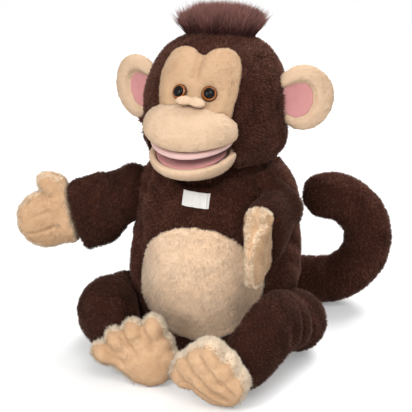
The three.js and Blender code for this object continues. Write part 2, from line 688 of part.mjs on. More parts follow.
function headHood() {
  const collarRoom = ball(collarInHead, hollowRadius(COLLAR_RADIUS, COLLAR_SIDES), COLLAR_SIDES);
  const shell = headForm(0).subtract(headForm(-PLUSH));
  return piece("head_hood", cut(shell, [collarRoom, mouthRoom(), ...shankHoles]), brownPlush);
}

function crownPadding() {
  const upper = block(V(-FAR, -FAR, CROWN_LEVEL), V(FAR, FAR, FAR));
  const dome = headForm(-PLUSH - SEAM).intersect(upper);
  return piece("crown_padding", cut(dome, washerRooms), innerCotton);
}

// The two-lobed outline of the face, in X and Z.
function maskOutline() {
  const lobeMiddle = MASK_LOBE_TOP - MASK_LOBE_RADIUS;
  const lobeOut = MASK_HALF_WIDTH - MASK_LOBE_RADIUS;
  const shape = new THREE.Shape();
  shape.moveTo(0, MASK_NOTCH);
  shape.absarc(-lobeOut, lobeMiddle, MASK_LOBE_RADIUS, rad(MASK_LOBE_START), Math.PI, false);
  shape.lineTo(-MASK_HALF_WIDTH, EYE_HEIGHT);
  shape.lineTo(MASK_TAPER - MASK_HALF_WIDTH, MASK_BOTTOM);
  shape.lineTo(MASK_HALF_WIDTH - MASK_TAPER, MASK_BOTTOM);
  shape.lineTo(MASK_HALF_WIDTH, EYE_HEIGHT);
  shape.absarc(lobeOut, lobeMiddle, MASK_LOBE_RADIUS, 0, Math.PI - rad(MASK_LOBE_START), false);
  return shape;
}

function faceMask() {
  const cover = maskForm(0).subtract(headForm(SEAM));
  const mask = cover.intersect(frontPrism(maskOutline(), -FAR, 0, 8));
  return piece("face_mask", cut(mask, shankHoles), beigePlush);
}

function nose() {
  const ahead = (NOSE_FORWARD - MUZZLE_FORWARD) / MUZZLE_HALF_DEPTH;
  const seat = MUZZLE_LIFT + MUZZLE_HALF_HEIGHT * Math.sqrt(1 - ahead ** 2);
  const spot = V(NOSE_HALF_WIDTH * NOSE_LOBE_OUT, -NOSE_FORWARD, seat + NOSE_RADIUS * NOSE_PROUD);
  const radii = V(NOSE_HALF_WIDTH, NOSE_RADIUS, NOSE_RADIUS);
  const lobes = [1, -1].map((side) => ellipsoid(V(side * spot.x, spot.y, spot.z), radii));
  return piece("nose", cut(join(lobes), [maskForm(SEAM), muzzleForm(SEAM)]), beigePlush);
}

const muzzleMiddle = V(MUZZLE_SIDE, -MUZZLE_FORWARD, MUZZLE_LIFT);

function muzzleForm(grow) {
  const radii = V(MUZZLE_HALF_WIDTH + grow, MUZZLE_HALF_DEPTH + grow, MUZZLE_HALF_HEIGHT + grow);
  return ellipsoid(muzzleMiddle, radii, undefined, MUZZLE_SIDES);
}

// The outline of the mouth at the lip, drawn in by an inset.
function lipOutline(inset) {
  const share = Math.sqrt(1 - ((LIP_LEVEL - MUZZLE_LIFT) / MUZZLE_HALF_HEIGHT) ** 2);
  const [halfWidth, halfDepth] = [MUZZLE_HALF_WIDTH, MUZZLE_HALF_DEPTH].map((half) => half * share - inset);
  return ovalShape(halfWidth, halfDepth, MUZZLE_SIDE, -MUZZLE_FORWARD);
}

const behindMouth = () => [maskForm(SEAM), headForm(SEAM)];

function muzzle() {
  const upper = block(V(-FAR, -FAR, LIP_LEVEL), V(FAR, FAR, FAR));
  const recess = pad(lipOutline(JAW_RIM - SEAM), LIP_LEVEL - SEAM, BOARD + 2 * SEAM, 0);
  return piece("muzzle", cut(muzzleForm(0).intersect(upper), [recess, ...behindMouth()]), beigePlush);
}

function upperMouthBoard() {
  const board = pad(lipOutline(JAW_RIM), LIP_LEVEL, BOARD, 0);
  return piece("upper_mouth_board", cut(board, behindMouth()), boardPlastic);
}

// The pink roof of the mouth, whose front edge shows as the upper lip. It goes back to the hinge fold.
function upperLip() {
  const roof = pad(lipOutline(LIP_INSET), LIP_LEVEL - SEAM - LIP, LIP, LIP / 3);
  const behind = block(V(-FAR, -HINGE_FORWARD, -FAR), V(FAR, FAR, FAR));
  return piece("upper_lip", cut(roof, [behind, hingeRoll(SEAM, hingeInHead)]), pinkVelour);
}

function hingeRoll(grow, middle) {
  const half = V(HINGE_LENGTH / 2 + grow, 0, 0);
  return rod(middle.clone().sub(half), middle.clone().add(half), HINGE_RADIUS + grow);
}

const hingeFold = () => piece("mouth_hinge_fold", hingeRoll(0, hingeInHead), pinkVelour);

// The clipped top tuft as its outer form. The fur stands on the crown.
function hairTuft() {
  const outline = [
    new THREE.Vector2(0, -TUFT_HEIGHT),
    new THREE.Vector2(TUFT_HALF_WIDTH * TUFT_ROOT_SHARE, -TUFT_HEIGHT),
    new THREE.Vector2(TUFT_HALF_WIDTH * TUFT_BASE_SHARE, 0),
    new THREE.Vector2(TUFT_HALF_WIDTH, TUFT_HEIGHT * TUFT_WIDEST_AT),
    new THREE.Vector2(TUFT_HALF_WIDTH * TUFT_TOP_SHARE, TUFT_HEIGHT * TUFT_TOP_AT),
    new THREE.Vector2(0, TUFT_HEIGHT),
  ];
  const form = new THREE.LatheGeometry(outline, BAG_SIDES).rotateX(Math.PI / 2);
  form.scale(1, TUFT_HALF_DEPTH / TUFT_HALF_WIDTH, 1);
  form.translate(TUFT_SIDE, TUFT_BACK, HEAD_HALF_HEIGHT - TUFT_SUNK);
  return piece("hair_tuft", toSolid(form).subtract(headForm(SEAM)), tuftFur);
}

// Eyes: an amber dome on a shank, a black pupil let into it and a washer inside the hood

function eyeParts(name, { spot, look }) {
  const dome = new THREE.SplineCurve([
    new THREE.Vector2(EYE_RADIUS, EYE_EDGE),
    new THREE.Vector2(EYE_RADIUS * EYE_SHOULDER_OUT, EYE_DOME * EYE_SHOULDER_UP),
    new THREE.Vector2(0, EYE_DOME),
  ]).getPoints(5);
  const outline = [
    new THREE.Vector2(0, -shankLength),
    new THREE.Vector2(SHANK_RADIUS, -shankLength),
    new THREE.Vector2(SHANK_RADIUS, SEAM),
    new THREE.Vector2(EYE_RADIUS, SEAM),
    ...dome,
  ];
  const whole = toSolid(new THREE.LatheGeometry(outline, SMALL_SIDES).rotateX(Math.PI / 2));
  const seat = EYE_DOME * PUPIL_SEAT;
  const socket = rod(V(0, 0, seat), V(0, 0, 2 * EYE_DOME), PUPIL_RADIUS + SEAM / 3);
  const bead = ellipsoid(V(0, 0, seat + SEAM), V(PUPIL_RADIUS, PUPIL_RADIUS, EYE_DOME * PUPIL_DOME));
  const pupil = bead.intersect(block(V(-FAR, -FAR, seat + SEAM / 3), V(FAR, FAR, FAR)));
  const ring = rod(V(0, 0, -washerDepth - WASHER), V(0, 0, -washerDepth), WASHER_RADIUS);
  const washer = cut(ring, [rod(V(0, 0, -2 * washerDepth), V(0, 0, 0), SHANK_RADIUS + SEAM / 3)]);
  const parts = [
    piece(`${name}_eye_iris`, whole.subtract(socket), irisPlastic),
    piece(`${name}_eye_pupil`, pupil, pupilPlastic),
    piece(`${name}_eye_washer`, washer, washerPlastic),
  ];
  const turn = new THREE.Quaternion().setFromUnitVectors(V(0, 0, 1), look);
  return group(spot, parts, new THREE.Euler().setFromQuaternion(turn));
}

// Ears: a cupped dish with a pink lining, cut to the side of the head

function earParts(name, side, out) {
  const place = new THREE.Matrix4().compose(
    V(side * out, EAR_BACK, EAR_LIFT),
    new THREE.Quaternion().setFromEuler(new THREE.Euler(0, 0, rad(side * EAR_TURN))), V(1, 1, 1));
  const intoEar = place.clone().invert();
  const head = toSolid(toGeometry(headForm(SEAM)).applyMatrix4(intoEar));
  const radii = V(EAR_HALF_WIDTH, EAR_HALF_THICKNESS, EAR_HALF_HEIGHT);
  const dish = ellipsoid(V(0, 0, 0), radii, undefined, EAR_SIDES);
  const cupMiddle = V(-side * EAR_RIM * EAR_CUP_SHIFT, -EAR_HALF_THICKNESS, 0);
  const cupRadii = V(EAR_HALF_WIDTH - EAR_RIM, EAR_CUP_DEPTH, EAR_HALF_HEIGHT - EAR_RIM);
  const cup = (grow) => ellipsoid(cupMiddle, cupRadii.clone().addScalar(grow));
  const front = block(V(-FAR, -FAR, -FAR), V(FAR, -EAR_HALF_THICKNESS * EAR_LINING_DEPTH, FAR));
  const lining = cup(-SEAM).subtract(cup(-SEAM - LINING)).subtract(front);
  const parts = [
    piece(`${name}_ear`, cut(dish, [cup(0), head]), beigePlush),
    piece(`${name}_ear_lining`, lining.subtract(head), pinkVelour),
  ];
  const made = group(V(0, 0, 0), parts);
  made.applyMatrix4(place);
  return made;
}

// Jaw, in its own frame with the hinge at the origin

const jawTop = -HINGE_RADIUS * JAW_TOP_SHARE;
const jawTurn = new THREE.Euler(rad(MOUTH_REST_ANGLE), 0, 0);

// The neck collar as the jaw meets it when it has opened by an angle more than at rest.
function collarInJaw(opened) {
  const middle = collarInHead.clone().sub(hingeInHead);
  middle.applyEuler(new THREE.Euler(-rad(MOUTH_REST_ANGLE + opened), 0, 0));
  return ball(middle, hollowRadius(COLLAR_RADIUS, COLLAR_SIDES) + JAW_ROOM, COLLAR_SIDES);
}

function jawParts() {
  const outline = (inset) => ovalShape(JAW_HALF_WIDTH - inset, JAW_HALF_DEPTH - inset, 0, -JAW_FORWARD);
  const middle = V(0, -JAW_FORWARD, jawTop - JAW_BOWL_DROP);
  const bowl = ellipsoid(middle, V(JAW_HALF_WIDTH, JAW_HALF_DEPTH, JAW_HALF_HEIGHT), undefined, MUZZLE_SIDES);
  const lower = block(V(-FAR, -FAR, -FAR), V(FAR, -HINGE_RADIUS, jawTop));
  const roll = hingeRoll(SEAM, V(0, 0, 0));
  const floorBottom = jawTop - MOUTH_FLOOR;
  const boardBottom = floorBottom - SEAM - BOARD;
  const recess = pad(outline(JAW_RIM - SEAM), boardBottom - SEAM, FAR, 0);
  const rooms = [0, 0.5, 1].map((share) => collarInJaw(share * MOUTH_OPENS));
  const back = block(V(-FAR, -HINGE_RADIUS, -FAR), V(FAR, FAR, FAR));
  const board = pad(outline(JAW_RIM), boardBottom, BOARD, 0);
  const floor = pad(outline(JAW_RIM), floorBottom, MOUTH_FLOOR, 1);
  const parts = [
    piece("chin", cut(bowl.intersect(lower), [recess, roll, ...rooms]), beigePlush),
    piece("lower_mouth_board", cut(board, [roll, back, ...rooms]), boardPlastic),
    piece("mouth_floor", cut(floor, [roll, back]), pinkVelour),
  ];
  return group(hingeInHead, parts, jawTurn);
}

function headParts() {
  const parts = [
    headHood(),
    crownPadding(),
    faceMask(),
    nose(),
    muzzle(),
    upperMouthBoard(),
    upperLip(),
    hingeFold(),
    hairTuft(),
    eyeParts("right", eyeSeats[0]),
    eyeParts("left", eyeSeats[1]),
    earParts("right", -1, RIGHT_EAR_OUT),
    earParts("left", 1, LEFT_EAR_OUT),
    jawParts(),
  ];
  return group(headMiddle, parts);
}

// Arms, in their own frame with the shoulder at the origin and the arm along +X

function sleeveSolid() {
  const path = new THREE.LineCurve3(V(0, 0, 0), V(ARM_LENGTH + WRIST_HALF_DEPTH, 0, -WRIST_DROP));
  const stations = [
    [0, ARM_HALF_DEPTH * 0.9, ARM_HALF_HEIGHT * 0.9],
    [0.4, ARM_HALF_DEPTH, ARM_HALF_HEIGHT],
    [1, WRIST_HALF_DEPTH, WRIST_HALF_HEIGHT],
  ];
  const wrist = block(V(ARM_LENGTH, -FAR, -FAR), V(FAR, FAR, FAR));
  return stuffed(path, stations, [0.02, 0.2]).subtract(wrist);
}

// A mitten hand with its thumb on top.
function handSolid() {
  const start = ARM_LENGTH + SEAM;
  const halfLength = HAND_HALF_HEIGHT + HAND_LONGER;
  const middle = V(start + HAND_LENGTH - halfLength, 0, -HAND_DROP);
  const mitten = ellipsoid(middle, V(halfLength, HAND_HALF_DEPTH, HAND_HALF_HEIGHT));
  const root = V(start + HAND_LENGTH * THUMB_ALONG, 0, WRIST_HALF_HEIGHT * THUMB_UP);
  const rise = new THREE.Euler(0, -rad(THUMB_RISE), 0);
  const thumb = ellipsoid(root, V(THUMB_LENGTH / 2, THUMB_RADIUS, THUMB_RADIUS), rise, TOE_SIDES);
  const wrist = V(start - HAND_LONGER, 0, -WRIST_DROP);
  const line = new THREE.LineCurve3(wrist, middle.clone().setX(middle.x + HAND_DROP));
  const stations = [
    [0, WRIST_HALF_DEPTH * CUFF_SHARE, WRIST_HALF_HEIGHT * CUFF_SHARE],
    [1, HAND_HALF_DEPTH * PALM_SHARE, HAND_HALF_HEIGHT * PALM_SHARE],
  ];
  const cuff = stuffed(line, stations, [0.03, 0.3], V(0, 0, 1), LIMB_SIDES, 6);
  return join([mitten, cuff, thumb]).subtract(block(V(-FAR, -FAR, -FAR), V(start, FAR, FAR)));
}

function armParts(name, side, pivot, droop, yaw, lowers) {
  const sided = (solid) => (side > 0 ? solid : mirrored(solid));
  const turn = new THREE.Euler(0, rad(side * droop), rad(-side * yaw), "ZYX");
  const axis = side > 0 ? V(1, 0, 0) : V(0, -1, 0);
  const sleeve = carvedByTorso(sided(sleeveSolid()), turn, pivot, axis, [-ARM_RAISES, lowers]);
  const parts = [
    piece(`${name}_arm`, sleeve.add(ball(V(0, 0, 0), SHOULDER_BALL)), brownPlush),
    piece(`${name}_hand`, sided(handSolid()), beigePlush),
  ];
  return group(pivot, parts, turn);
}

// Legs, in their own frame with the hip at the origin

function legSolid(knee, ankle, grow = 0) {
  const thigh = knee.clone().multiplyScalar(0.55);
  const shin = knee.clone().lerp(ankle, 0.6);
  const path = curve([V(0, 0, 0), thigh, knee, shin, ankle]);
  const stations = [
    [0, HIP_BALL * THIGH_SHARE, HIP_BALL * THIGH_SHARE],
    [0.35, KNEE_RADIUS + grow, KNEE_RADIUS + grow],
    [0.62, KNEE_RADIUS + grow, KNEE_RADIUS + grow],
    [1, ANKLE_RADIUS + grow, ANKLE_RADIUS + grow],
  ];
  return stuffed(path, stations, [0.02, 0.18], V(0, 0, 1), SLEEVE_SIDES, 11);
}

// A foot lying on its back, toes along +X, sole up +Z, the small toes towards +Y and the big toe towards -Y.
function footSolid() {
  const sole = ellipsoid(V(0, 0, 0), V(SOLE_HALF_LENGTH, SOLE_HALF_WIDTH, SOLE_HALF_THICKNESS));
  const toes = [1, 0, -1, -2].map((row) => {
    const turn = new THREE.Euler(0, 0, rad(TOE_FAN * (row + TOE_ROW_SHIFT)));
    const reach = SOLE_HALF_LENGTH * TOE_ROW_REACH - TOE_ROW_CURVE * (row - TOE_LONGEST) ** 2;
    const middle = V(reach, TOE_SPACING * (row + TOE_ROW_SHIFT), TOE_PROUD);
    return ellipsoid(middle, V(TOE_HALF_LENGTH, TOE_RADIUS, TOE_RADIUS), turn, TOE_SIDES);
  });
  return join([sole, ...toes]);
}

// A leg with its foot at the end, whose toes point one way and whose sole looks another.
function legParts(name, side, pose) {
  const { knee, ankle } = pose;
  const toes = pose.toes.clone().normalize();
  const sole = pose.sole.clone().addScaledVector(toes, -pose.sole.dot(toes)).normalize();
  const outer = sole.clone().cross(toes);
  const basis = new THREE.Matrix4().makeBasis(toes, outer, sole).setPosition(pose.foot);
  const floor = block(V(-FAR, -FAR, -FAR), V(FAR, FAR, -HIP_LIFT + SEAM));
  const pivot = hipPivot(side);
  const straight = new THREE.Euler();
  const leg = clearOfTorso(legSolid(knee, ankle), straight, pivot, V(1, 0, 0), [0, LEG_HANGS]);
  const sided = new THREE.Matrix4().makeScale(1, side, 1);
  const standing = moved(footSolid(), basis.multiply(sided));
  const parts = [
    piece(`${name}_leg`, leg.add(ball(V(0, 0, 0), HIP_BALL)).subtract(floor), brownPlush),
    piece(`${name}_foot`, cut(standing, [legSolid(knee, ankle, SEAM), floor]), beigePlush),
  ];
  return group(pivot, parts);
}

// Tail, in its own frame with its root at the origin

function tailPart() {
  const stations = [
    [0, TAIL_BALL * TAIL_ROOT_SHARE, TAIL_BALL * TAIL_ROOT_SHARE],
    [0.25, TAIL_RADIUS, TAIL_RADIUS],
    [0.85, TAIL_RADIUS, TAIL_RADIUS],
    [1, TAIL_RADIUS * TAIL_TIP_SHARE, TAIL_RADIUS * TAIL_TIP_SHARE],
  ];
  const tail = stuffed(curve(TAIL_PATH), stations, [0.01, 0.07], V(0, 1, 0.2), LIMB_SIDES, TAIL_RINGS);
  const swings = [-TAIL_SWINGS_IN, TAIL_SWINGS_OUT];
  const clear = clearOfTorso(tail, new THREE.Euler(), tailPivot, V(0, 0, 1), swings, 2 * TAIL_RADIUS);
  return group(tailPivot, [piece("tail", clear.add(ball(V(0, 0, 0), TAIL_BALL)), brownPlush)]);
}

const puppet = new THREE.Group();
puppet.add(
  ...torsoParts(),
  neckCollar(),
  headParts(),
  armParts("right", -1, rightShoulder, RIGHT_ARM_DROOP, RIGHT_ARM_YAW, RIGHT_ARM_LOWERS),
  armParts("left", 1, leftShoulder, LEFT_ARM_DROOP, LEFT_ARM_YAW, LEFT_ARM_LOWERS),
  legParts("right", -1, RIGHT_LEG),
  legParts("left", 1, LEFT_LEG),
  tailPart(),
);

export default puppet;
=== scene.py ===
"""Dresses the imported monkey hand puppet: plush skins with their pile, face, eyes, label and studio."""

import json
import logging
import math
from dataclasses import dataclass, field
from enum import Enum, IntEnum
from typing import Callable, NamedTuple, Optional, Sequence

import bpy
import numpy as np
from mathutils import Matrix, Vector
from mathutils.bvhtree import BVHTree

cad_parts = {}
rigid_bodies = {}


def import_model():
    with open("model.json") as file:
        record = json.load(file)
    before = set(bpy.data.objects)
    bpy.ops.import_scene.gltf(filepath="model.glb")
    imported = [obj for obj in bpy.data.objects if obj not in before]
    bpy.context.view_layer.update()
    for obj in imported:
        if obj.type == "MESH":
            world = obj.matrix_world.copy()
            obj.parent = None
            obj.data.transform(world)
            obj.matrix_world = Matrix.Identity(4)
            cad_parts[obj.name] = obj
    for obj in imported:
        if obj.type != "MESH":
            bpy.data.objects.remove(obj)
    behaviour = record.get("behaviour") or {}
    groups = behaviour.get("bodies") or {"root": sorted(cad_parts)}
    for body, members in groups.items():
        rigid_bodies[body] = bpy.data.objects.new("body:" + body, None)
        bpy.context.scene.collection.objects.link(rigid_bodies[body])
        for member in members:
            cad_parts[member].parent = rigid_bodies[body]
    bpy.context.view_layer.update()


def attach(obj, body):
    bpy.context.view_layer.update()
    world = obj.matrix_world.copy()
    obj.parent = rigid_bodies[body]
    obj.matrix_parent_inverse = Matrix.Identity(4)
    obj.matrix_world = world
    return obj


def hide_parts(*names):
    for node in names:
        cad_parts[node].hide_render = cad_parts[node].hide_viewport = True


LOG = logging.getLogger("puppet")
MM = 0.001
BAKE_UV = "OFBake"

Points = np.ndarray
Keep = Callable[[Points, Points], np.ndarray]
Colour = tuple


class Slot(Enum):
    """The record's material slots."""

    BROWN = "brown_plush"
    BEIGE = "beige_plush"
    BELLY = "belly_plush"
    PINK = "pink_velour"
    TUFT = "tuft_fur"
    COTTON = "inner_cotton"
    LABEL = "woven_label"
    BOARD = "mouth_board"
    IRIS = "eye_iris"
    PUPIL = "eye_pupil"
    WASHER = "eye_washer"


class Side(Enum):
    """The puppet's own sides. The value is the sign of X."""

    RIGHT = -1
    LEFT = 1

    @property
    def word(self) -> str:
        """The side's name as the nodes have it."""
        return self.name.lower()


class Seed(IntEnum):
    """What fixes the fibres of each pile. A limb adds the sign of its side."""

    TORSO = 11
    BELLY = 12
    HOOD = 21
    MASK = 22
    EAR = 23
    CHIN = 24
    NECK = 25
    MUZZLE = 26
    ARM = 31
    HAND = 35
    HAND_FLUFF = 37
    FUR = 41
    LEG = 51
    FOOT = 55
    FOOT_FLUFF = 58
    TAIL = 61


class Dress(NamedTuple):
    """A made material and the record's slot that it fills."""

    material: bpy.types.Material
    slot: Slot


# Shader nodes


class Wire:
    """An output socket that takes part in arithmetic by adding Math nodes."""

    def __init__(self, sheet: "NodeSheet", socket: bpy.types.NodeSocket) -> None:
        """Keeps the socket and the sheet that new nodes go on."""
        self.sheet = sheet
        self.socket = socket

    def _math(self, operation: str, other: object = 0.0) -> "Wire":
        """A Math node of this wire and another wire or a number."""
        return self.sheet.node("ShaderNodeMath", {"operation": operation}, {0: self, 1: other})

    def __add__(self, other: object) -> "Wire":
        """Adds."""
        return self._math("ADD", other)

    def __sub__(self, other: object) -> "Wire":
        """Takes away."""
        return self._math("SUBTRACT", other)

    def __mul__(self, other: object) -> "Wire":
        """Multiplies."""
        return self._math("MULTIPLY", other)

    def sine(self) -> "Wire":
        """The sine of the value, in radians."""
        return self._math("SINE")


class NodeSheet:
    """A new material or world and the nodes on it."""

    def __init__(self, owner: bpy.types.ID) -> None:
        """Clears the owner's node tree."""
        owner.use_nodes = True
        self.owner = owner
        self.tree = owner.node_tree
        self.tree.nodes.clear()

    def node(self, kind: str, settings: Optional[dict] = None, inputs: Optional[dict] = None,
             out: object = 0) -> Wire:
        """Adds one node.

        Args:
            kind: the node's type.
            settings: properties of the node, or stops for a ramp.
            inputs: values or wires by socket name or number.
            out: the output that is wanted.

        Returns:
            The wanted output.
        """
        made = self.tree.nodes.new(kind)
        for name, value in (settings or {}).items():
            if name == "stops":
                self._stops(made.color_ramp, value)
            else:
                setattr(made, name, value)
        for key, value in (inputs or {}).items():
            if isinstance(value, Wire):
                self.tree.links.new(value.socket, made.inputs[key])
            else:
                made.inputs[key].default_value = value
        return Wire(self, made.outputs[out] if made.outputs else None)

    @staticmethod
    def _stops(ramp: bpy.types.ColorRamp, stops: Sequence[tuple]) -> None:
        """Sets a ramp's stops.

        Args:
            ramp: the ramp.
            stops: place and colour of each stop.
        """
        while len(ramp.elements) < len(stops):
            ramp.elements.new(1.0)
        for element, (place, colour) in zip(ramp.elements, stops):
            element.position = place
            element.color = (*colour, 1.0)

    def objects(self) -> Wire:
        """Object coordinates."""
        return self.node("ShaderNodeTexCoord", out="Object")

    def axis(self, vector: Wire, name: str) -> Wire:
        """One component of a vector."""
        return self.node("ShaderNodeSeparateXYZ", inputs={0: vector}, out=name)

    def seen(self) -> Wire:
        """One to the camera, in reflections and through clear pieces, and nought to the light on a piece."""
        kinds = ("Camera", "Glossy", "Transmission")
        rays = [self.node("ShaderNodeLightPath", out=f"Is {kind} Ray") for kind in kinds]
        return self.node("ShaderNodeClamp", inputs={"Value": rays[0] + rays[1] + rays[2]})

    def noise(self, scale: float, detail: float) -> Wire:
        """Noise about one half, of so many waves to the metre and octaves."""
        inputs = {"Vector": self.objects(), "Scale": scale, "Detail": detail}
        return self.node("ShaderNodeTexNoise", inputs=inputs)

    def mix(self, share: object, first: object, second: object) -> Wire:
        """Mixes two colours.

        Args:
            share: how much of the second.
            first: a colour or wire.
            second: a colour or wire.

        Returns:
            The mixed colour.
        """
        full = [(*value, 1.0) if isinstance(value, tuple) else value for value in (first, second)]
        return self.node("ShaderNodeMix", {"data_type": "RGBA"}, {0: share, 6: full[0], 7: full[1]}, out=2)

    def bump(self, height: Wire, strength: float, distance: float) -> Wire:
        """The normal bumped by a height, over a distance in metres."""
        inputs = {"Height": height, "Strength": strength, "Distance": distance}
        return self.node("ShaderNodeBump", inputs=inputs)

    def surface(self, inputs: dict) -> bpy.types.ID:
        """Ends the sheet in one Principled shader with these values and wires, and returns the owner."""
        shader = self.node("ShaderNodeBsdfPrincipled", inputs=inputs)
        self.node("ShaderNodeOutputMaterial", inputs={"Surface": shader})
        return self.owner


def new_sheet(name: str) -> NodeSheet:
    """A node sheet on a new material of that name."""
    return NodeSheet(bpy.data.materials.new(name))


def sheen(weight: float, roughness: float, tint: Colour) -> dict:
    """The sheen values of a Principled shader."""
    return {"Sheen Weight": weight, "Sheen Roughness": roughness, "Sheen Tint": (*tint, 1.0)}


# Finishes


@dataclass(frozen=True)
class PlushBacking:
    """The knitted backing and dense undercoat of a plush."""

    name: str
    dark: Colour
    light: Colour
    sheen: Colour
    sheen_weight: float = 0.35
    grain: float = 900.0
    relief: float = 0.0006
    mottle: float = 55.0

    def material(self) -> bpy.types.Material:
        """The backing's material, mottled and finely grained."""
        sheet = new_sheet(self.name)
        patches = sheet.noise(self.mottle, 3.0)
        fibres = sheet.noise(self.grain, 2.0)
        return sheet.surface({
            "Base Color": sheet.mix(patches * 0.6 + fibres * 0.5 - 0.05, self.dark, self.light),
            "Roughness": fibres * 0.15 + 0.82,
            "Normal": sheet.bump(fibres, 0.7, self.relief),
            "Specular IOR Level": 0.06,
            **sheen(self.sheen_weight, 0.5, self.sheen),
        })


@dataclass(frozen=True)
class Tones:
    """A plush's colours from fibre roots to tips: dark roots are painted shade, light tips painted sheen."""

    dark: Colour
    middle: Colour
    light: Colour


@dataclass(frozen=True)
class PileTint:
    """The colour of a pile. The UV map holds the shade of a fibre and the way from its root to its tip."""

    name: str
    tones: Tones
    sheen: Colour
    sheen_weight: float = 0.25
    dulled: float = 0.5
    brightened: float = 1.5
    waist: float = 0.55

    def material(self) -> bpy.types.Material:
        """The fibres' material."""
        sheet = new_sheet(self.name)
        place = sheet.node("ShaderNodeUVMap", {"uv_map": BAKE_UV})
        along = sheet.axis(place, "Y")
        # Dark at the root for painted shade deep in the pile, light at the tip for painted sheen.
        stops = [(0.0, self.tones.dark), (self.waist, self.tones.middle), (1.0, self.tones.light)]
        tone = sheet.node("ShaderNodeValToRGB", {"stops": stops}, {0: along})
        dull = sheet.mix(self.dulled, tone, (0.0, 0.0, 0.0))
        scaled = {0: tone, "Scale": self.brightened}
        bright = sheet.node("ShaderNodeVectorMath", {"operation": "SCALE"}, scaled)
        return sheet.surface({
            "Base Color": sheet.mix(sheet.axis(place, "X"), dull, bright),
            "Roughness": along * -0.15 + 0.8,
            "Specular IOR Level": 0.08,
            **sheen(self.sheen_weight, 0.45, self.sheen),
        })


@dataclass(frozen=True)
class Velour:
    """A short smooth velour."""

    name: str
    dark: Colour
    light: Colour
    sheen: Colour = (1.0, 0.85, 0.82)
    brushing: float = 70.0
    grain: float = 1500.0

    def material(self) -> bpy.types.Material:
        """The velour's material with brushed patches and a fine nap."""
        sheet = new_sheet(self.name)
        brushed = sheet.noise(self.brushing, 3.0)
        nap = sheet.noise(self.grain, 2.0)
        return sheet.surface({
            "Base Color": sheet.mix(brushed * 0.7 + nap * 0.4 - 0.05, self.dark, self.light),
            "Roughness": nap * 0.2 + 0.75,
            "Normal": sheet.bump(nap, 0.6, 0.0004),
            "Specular IOR Level": 0.2,
            **sheen(0.5, 0.4, self.sheen),
        })


@dataclass(frozen=True)
class Weave:
    """A plain weave of crossing threads."""

    name: str
    warp: Colour
    weft: Colour
    threads: float
    relief: float
    slub: float = 300.0

    def material(self) -> bpy.types.Material:
        """The weave's material, with threads along X and Z."""
        sheet = new_sheet(self.name)
        spot = sheet.objects()
        turn = 2.0 * math.pi * self.threads
        waves = [(sheet.axis(spot, name) * turn).sine() for name in "XZ"]
        crossing = waves[0] * waves[1] * 0.5 + 0.5
        slubs = sheet.noise(self.slub, 3.0)
        return sheet.surface({
            "Base Color": sheet.mix(crossing * 0.6 + slubs * 0.4, self.warp, self.weft),
            "Roughness": slubs * 0.2 + 0.75,
            "Normal": sheet.bump(crossing, 0.6, self.relief),
            "Sheen Weight": 0.15,
        })


@dataclass(frozen=True)
class Moulded:
    """A moulded plastic with faint flow marks."""

    name: str
    dark: Colour
    light: Colour
    roughness: float
    gloss: float = 0.5
    flow: float = 220.0
    grain: float = 1800.0

    def material(self) -> bpy.types.Material:
        """The plastic's material."""
        sheet = new_sheet(self.name)
        return sheet.surface({
            "Base Color": sheet.mix(sheet.noise(self.flow, 3.0), self.dark, self.light),
            "Roughness": sheet.noise(self.grain, 1.0) * 0.06 + self.roughness,
            "Specular IOR Level": self.gloss,
        })


@dataclass(frozen=True)
class AmberEye:
    """The amber dome of a safety eye, darker towards its middle and its rim."""

    name: str
    middle: Vector
    look: Vector
    radius: float
    grain: float = 900.0

    STOPS = ((0.0, (0.05, 0.012, 0.003)), (0.68, (0.26, 0.07, 0.012)), (0.84, (0.32, 0.095, 0.018)),
             (0.97, (0.05, 0.014, 0.004)))

    def material(self) -> bpy.types.Material:
        """The dome's material, coloured by the way from the eye's axis."""
        sheet = new_sheet(self.name)
        steps = (("SUBTRACT", self.middle), ("CROSS_PRODUCT", self.look))
        off = sheet.objects()
        for operation, other in steps:
            off = sheet.node("ShaderNodeVectorMath", {"operation": operation}, {0: off, 1: other})
        distance = sheet.node("ShaderNodeVectorMath", {"operation": "LENGTH"}, {0: off}, out="Value")
        flecks = sheet.noise(self.grain, 3.0)
        share = distance * (1.0 / self.radius) + flecks * 0.16 - 0.08
        return sheet.surface({
            "Base Color": sheet.node("ShaderNodeValToRGB", {"stops": self.STOPS}, {0: share}),
            "Roughness": flecks * 0.04 + 0.06,
            "Specular IOR Level": 0.35,
        })


BROWN = Tones((0.017, 0.005, 0.003), (0.053, 0.018, 0.011), (0.15, 0.07, 0.05))
BEIGE = Tones((0.47, 0.275, 0.145), (0.57, 0.355, 0.2), (0.7, 0.48, 0.305))
# The face mask's beige is a darker copy of the hands' beige: painted shade.
SHADED_FACE = Tones((0.42, 0.25, 0.135), (0.51, 0.322, 0.185), (0.625, 0.432, 0.28))
CREAM = Tones((0.54, 0.362, 0.226), (0.615, 0.432, 0.288), (0.73, 0.548, 0.395))
BELLY = Tones((0.7, 0.49, 0.322), (0.78, 0.585, 0.418), (0.87, 0.71, 0.555))
FOOT_FLUFF = Tones((0.74, 0.55, 0.37), (0.88, 0.7, 0.51), (0.96, 0.83, 0.66))
HAND_FLUFF = Tones((0.65, 0.47, 0.305), (0.77, 0.59, 0.41), (0.87, 0.72, 0.545))
TUFT = Tones((0.014, 0.004, 0.0035), (0.062, 0.021, 0.018), (0.21, 0.088, 0.072))
PEACH_SHEEN = (1.0, 0.88, 0.74)
CREAM_SHEEN = (1.0, 0.9, 0.8)
FLUFF_SHEEN = (1.0, 0.92, 0.84)


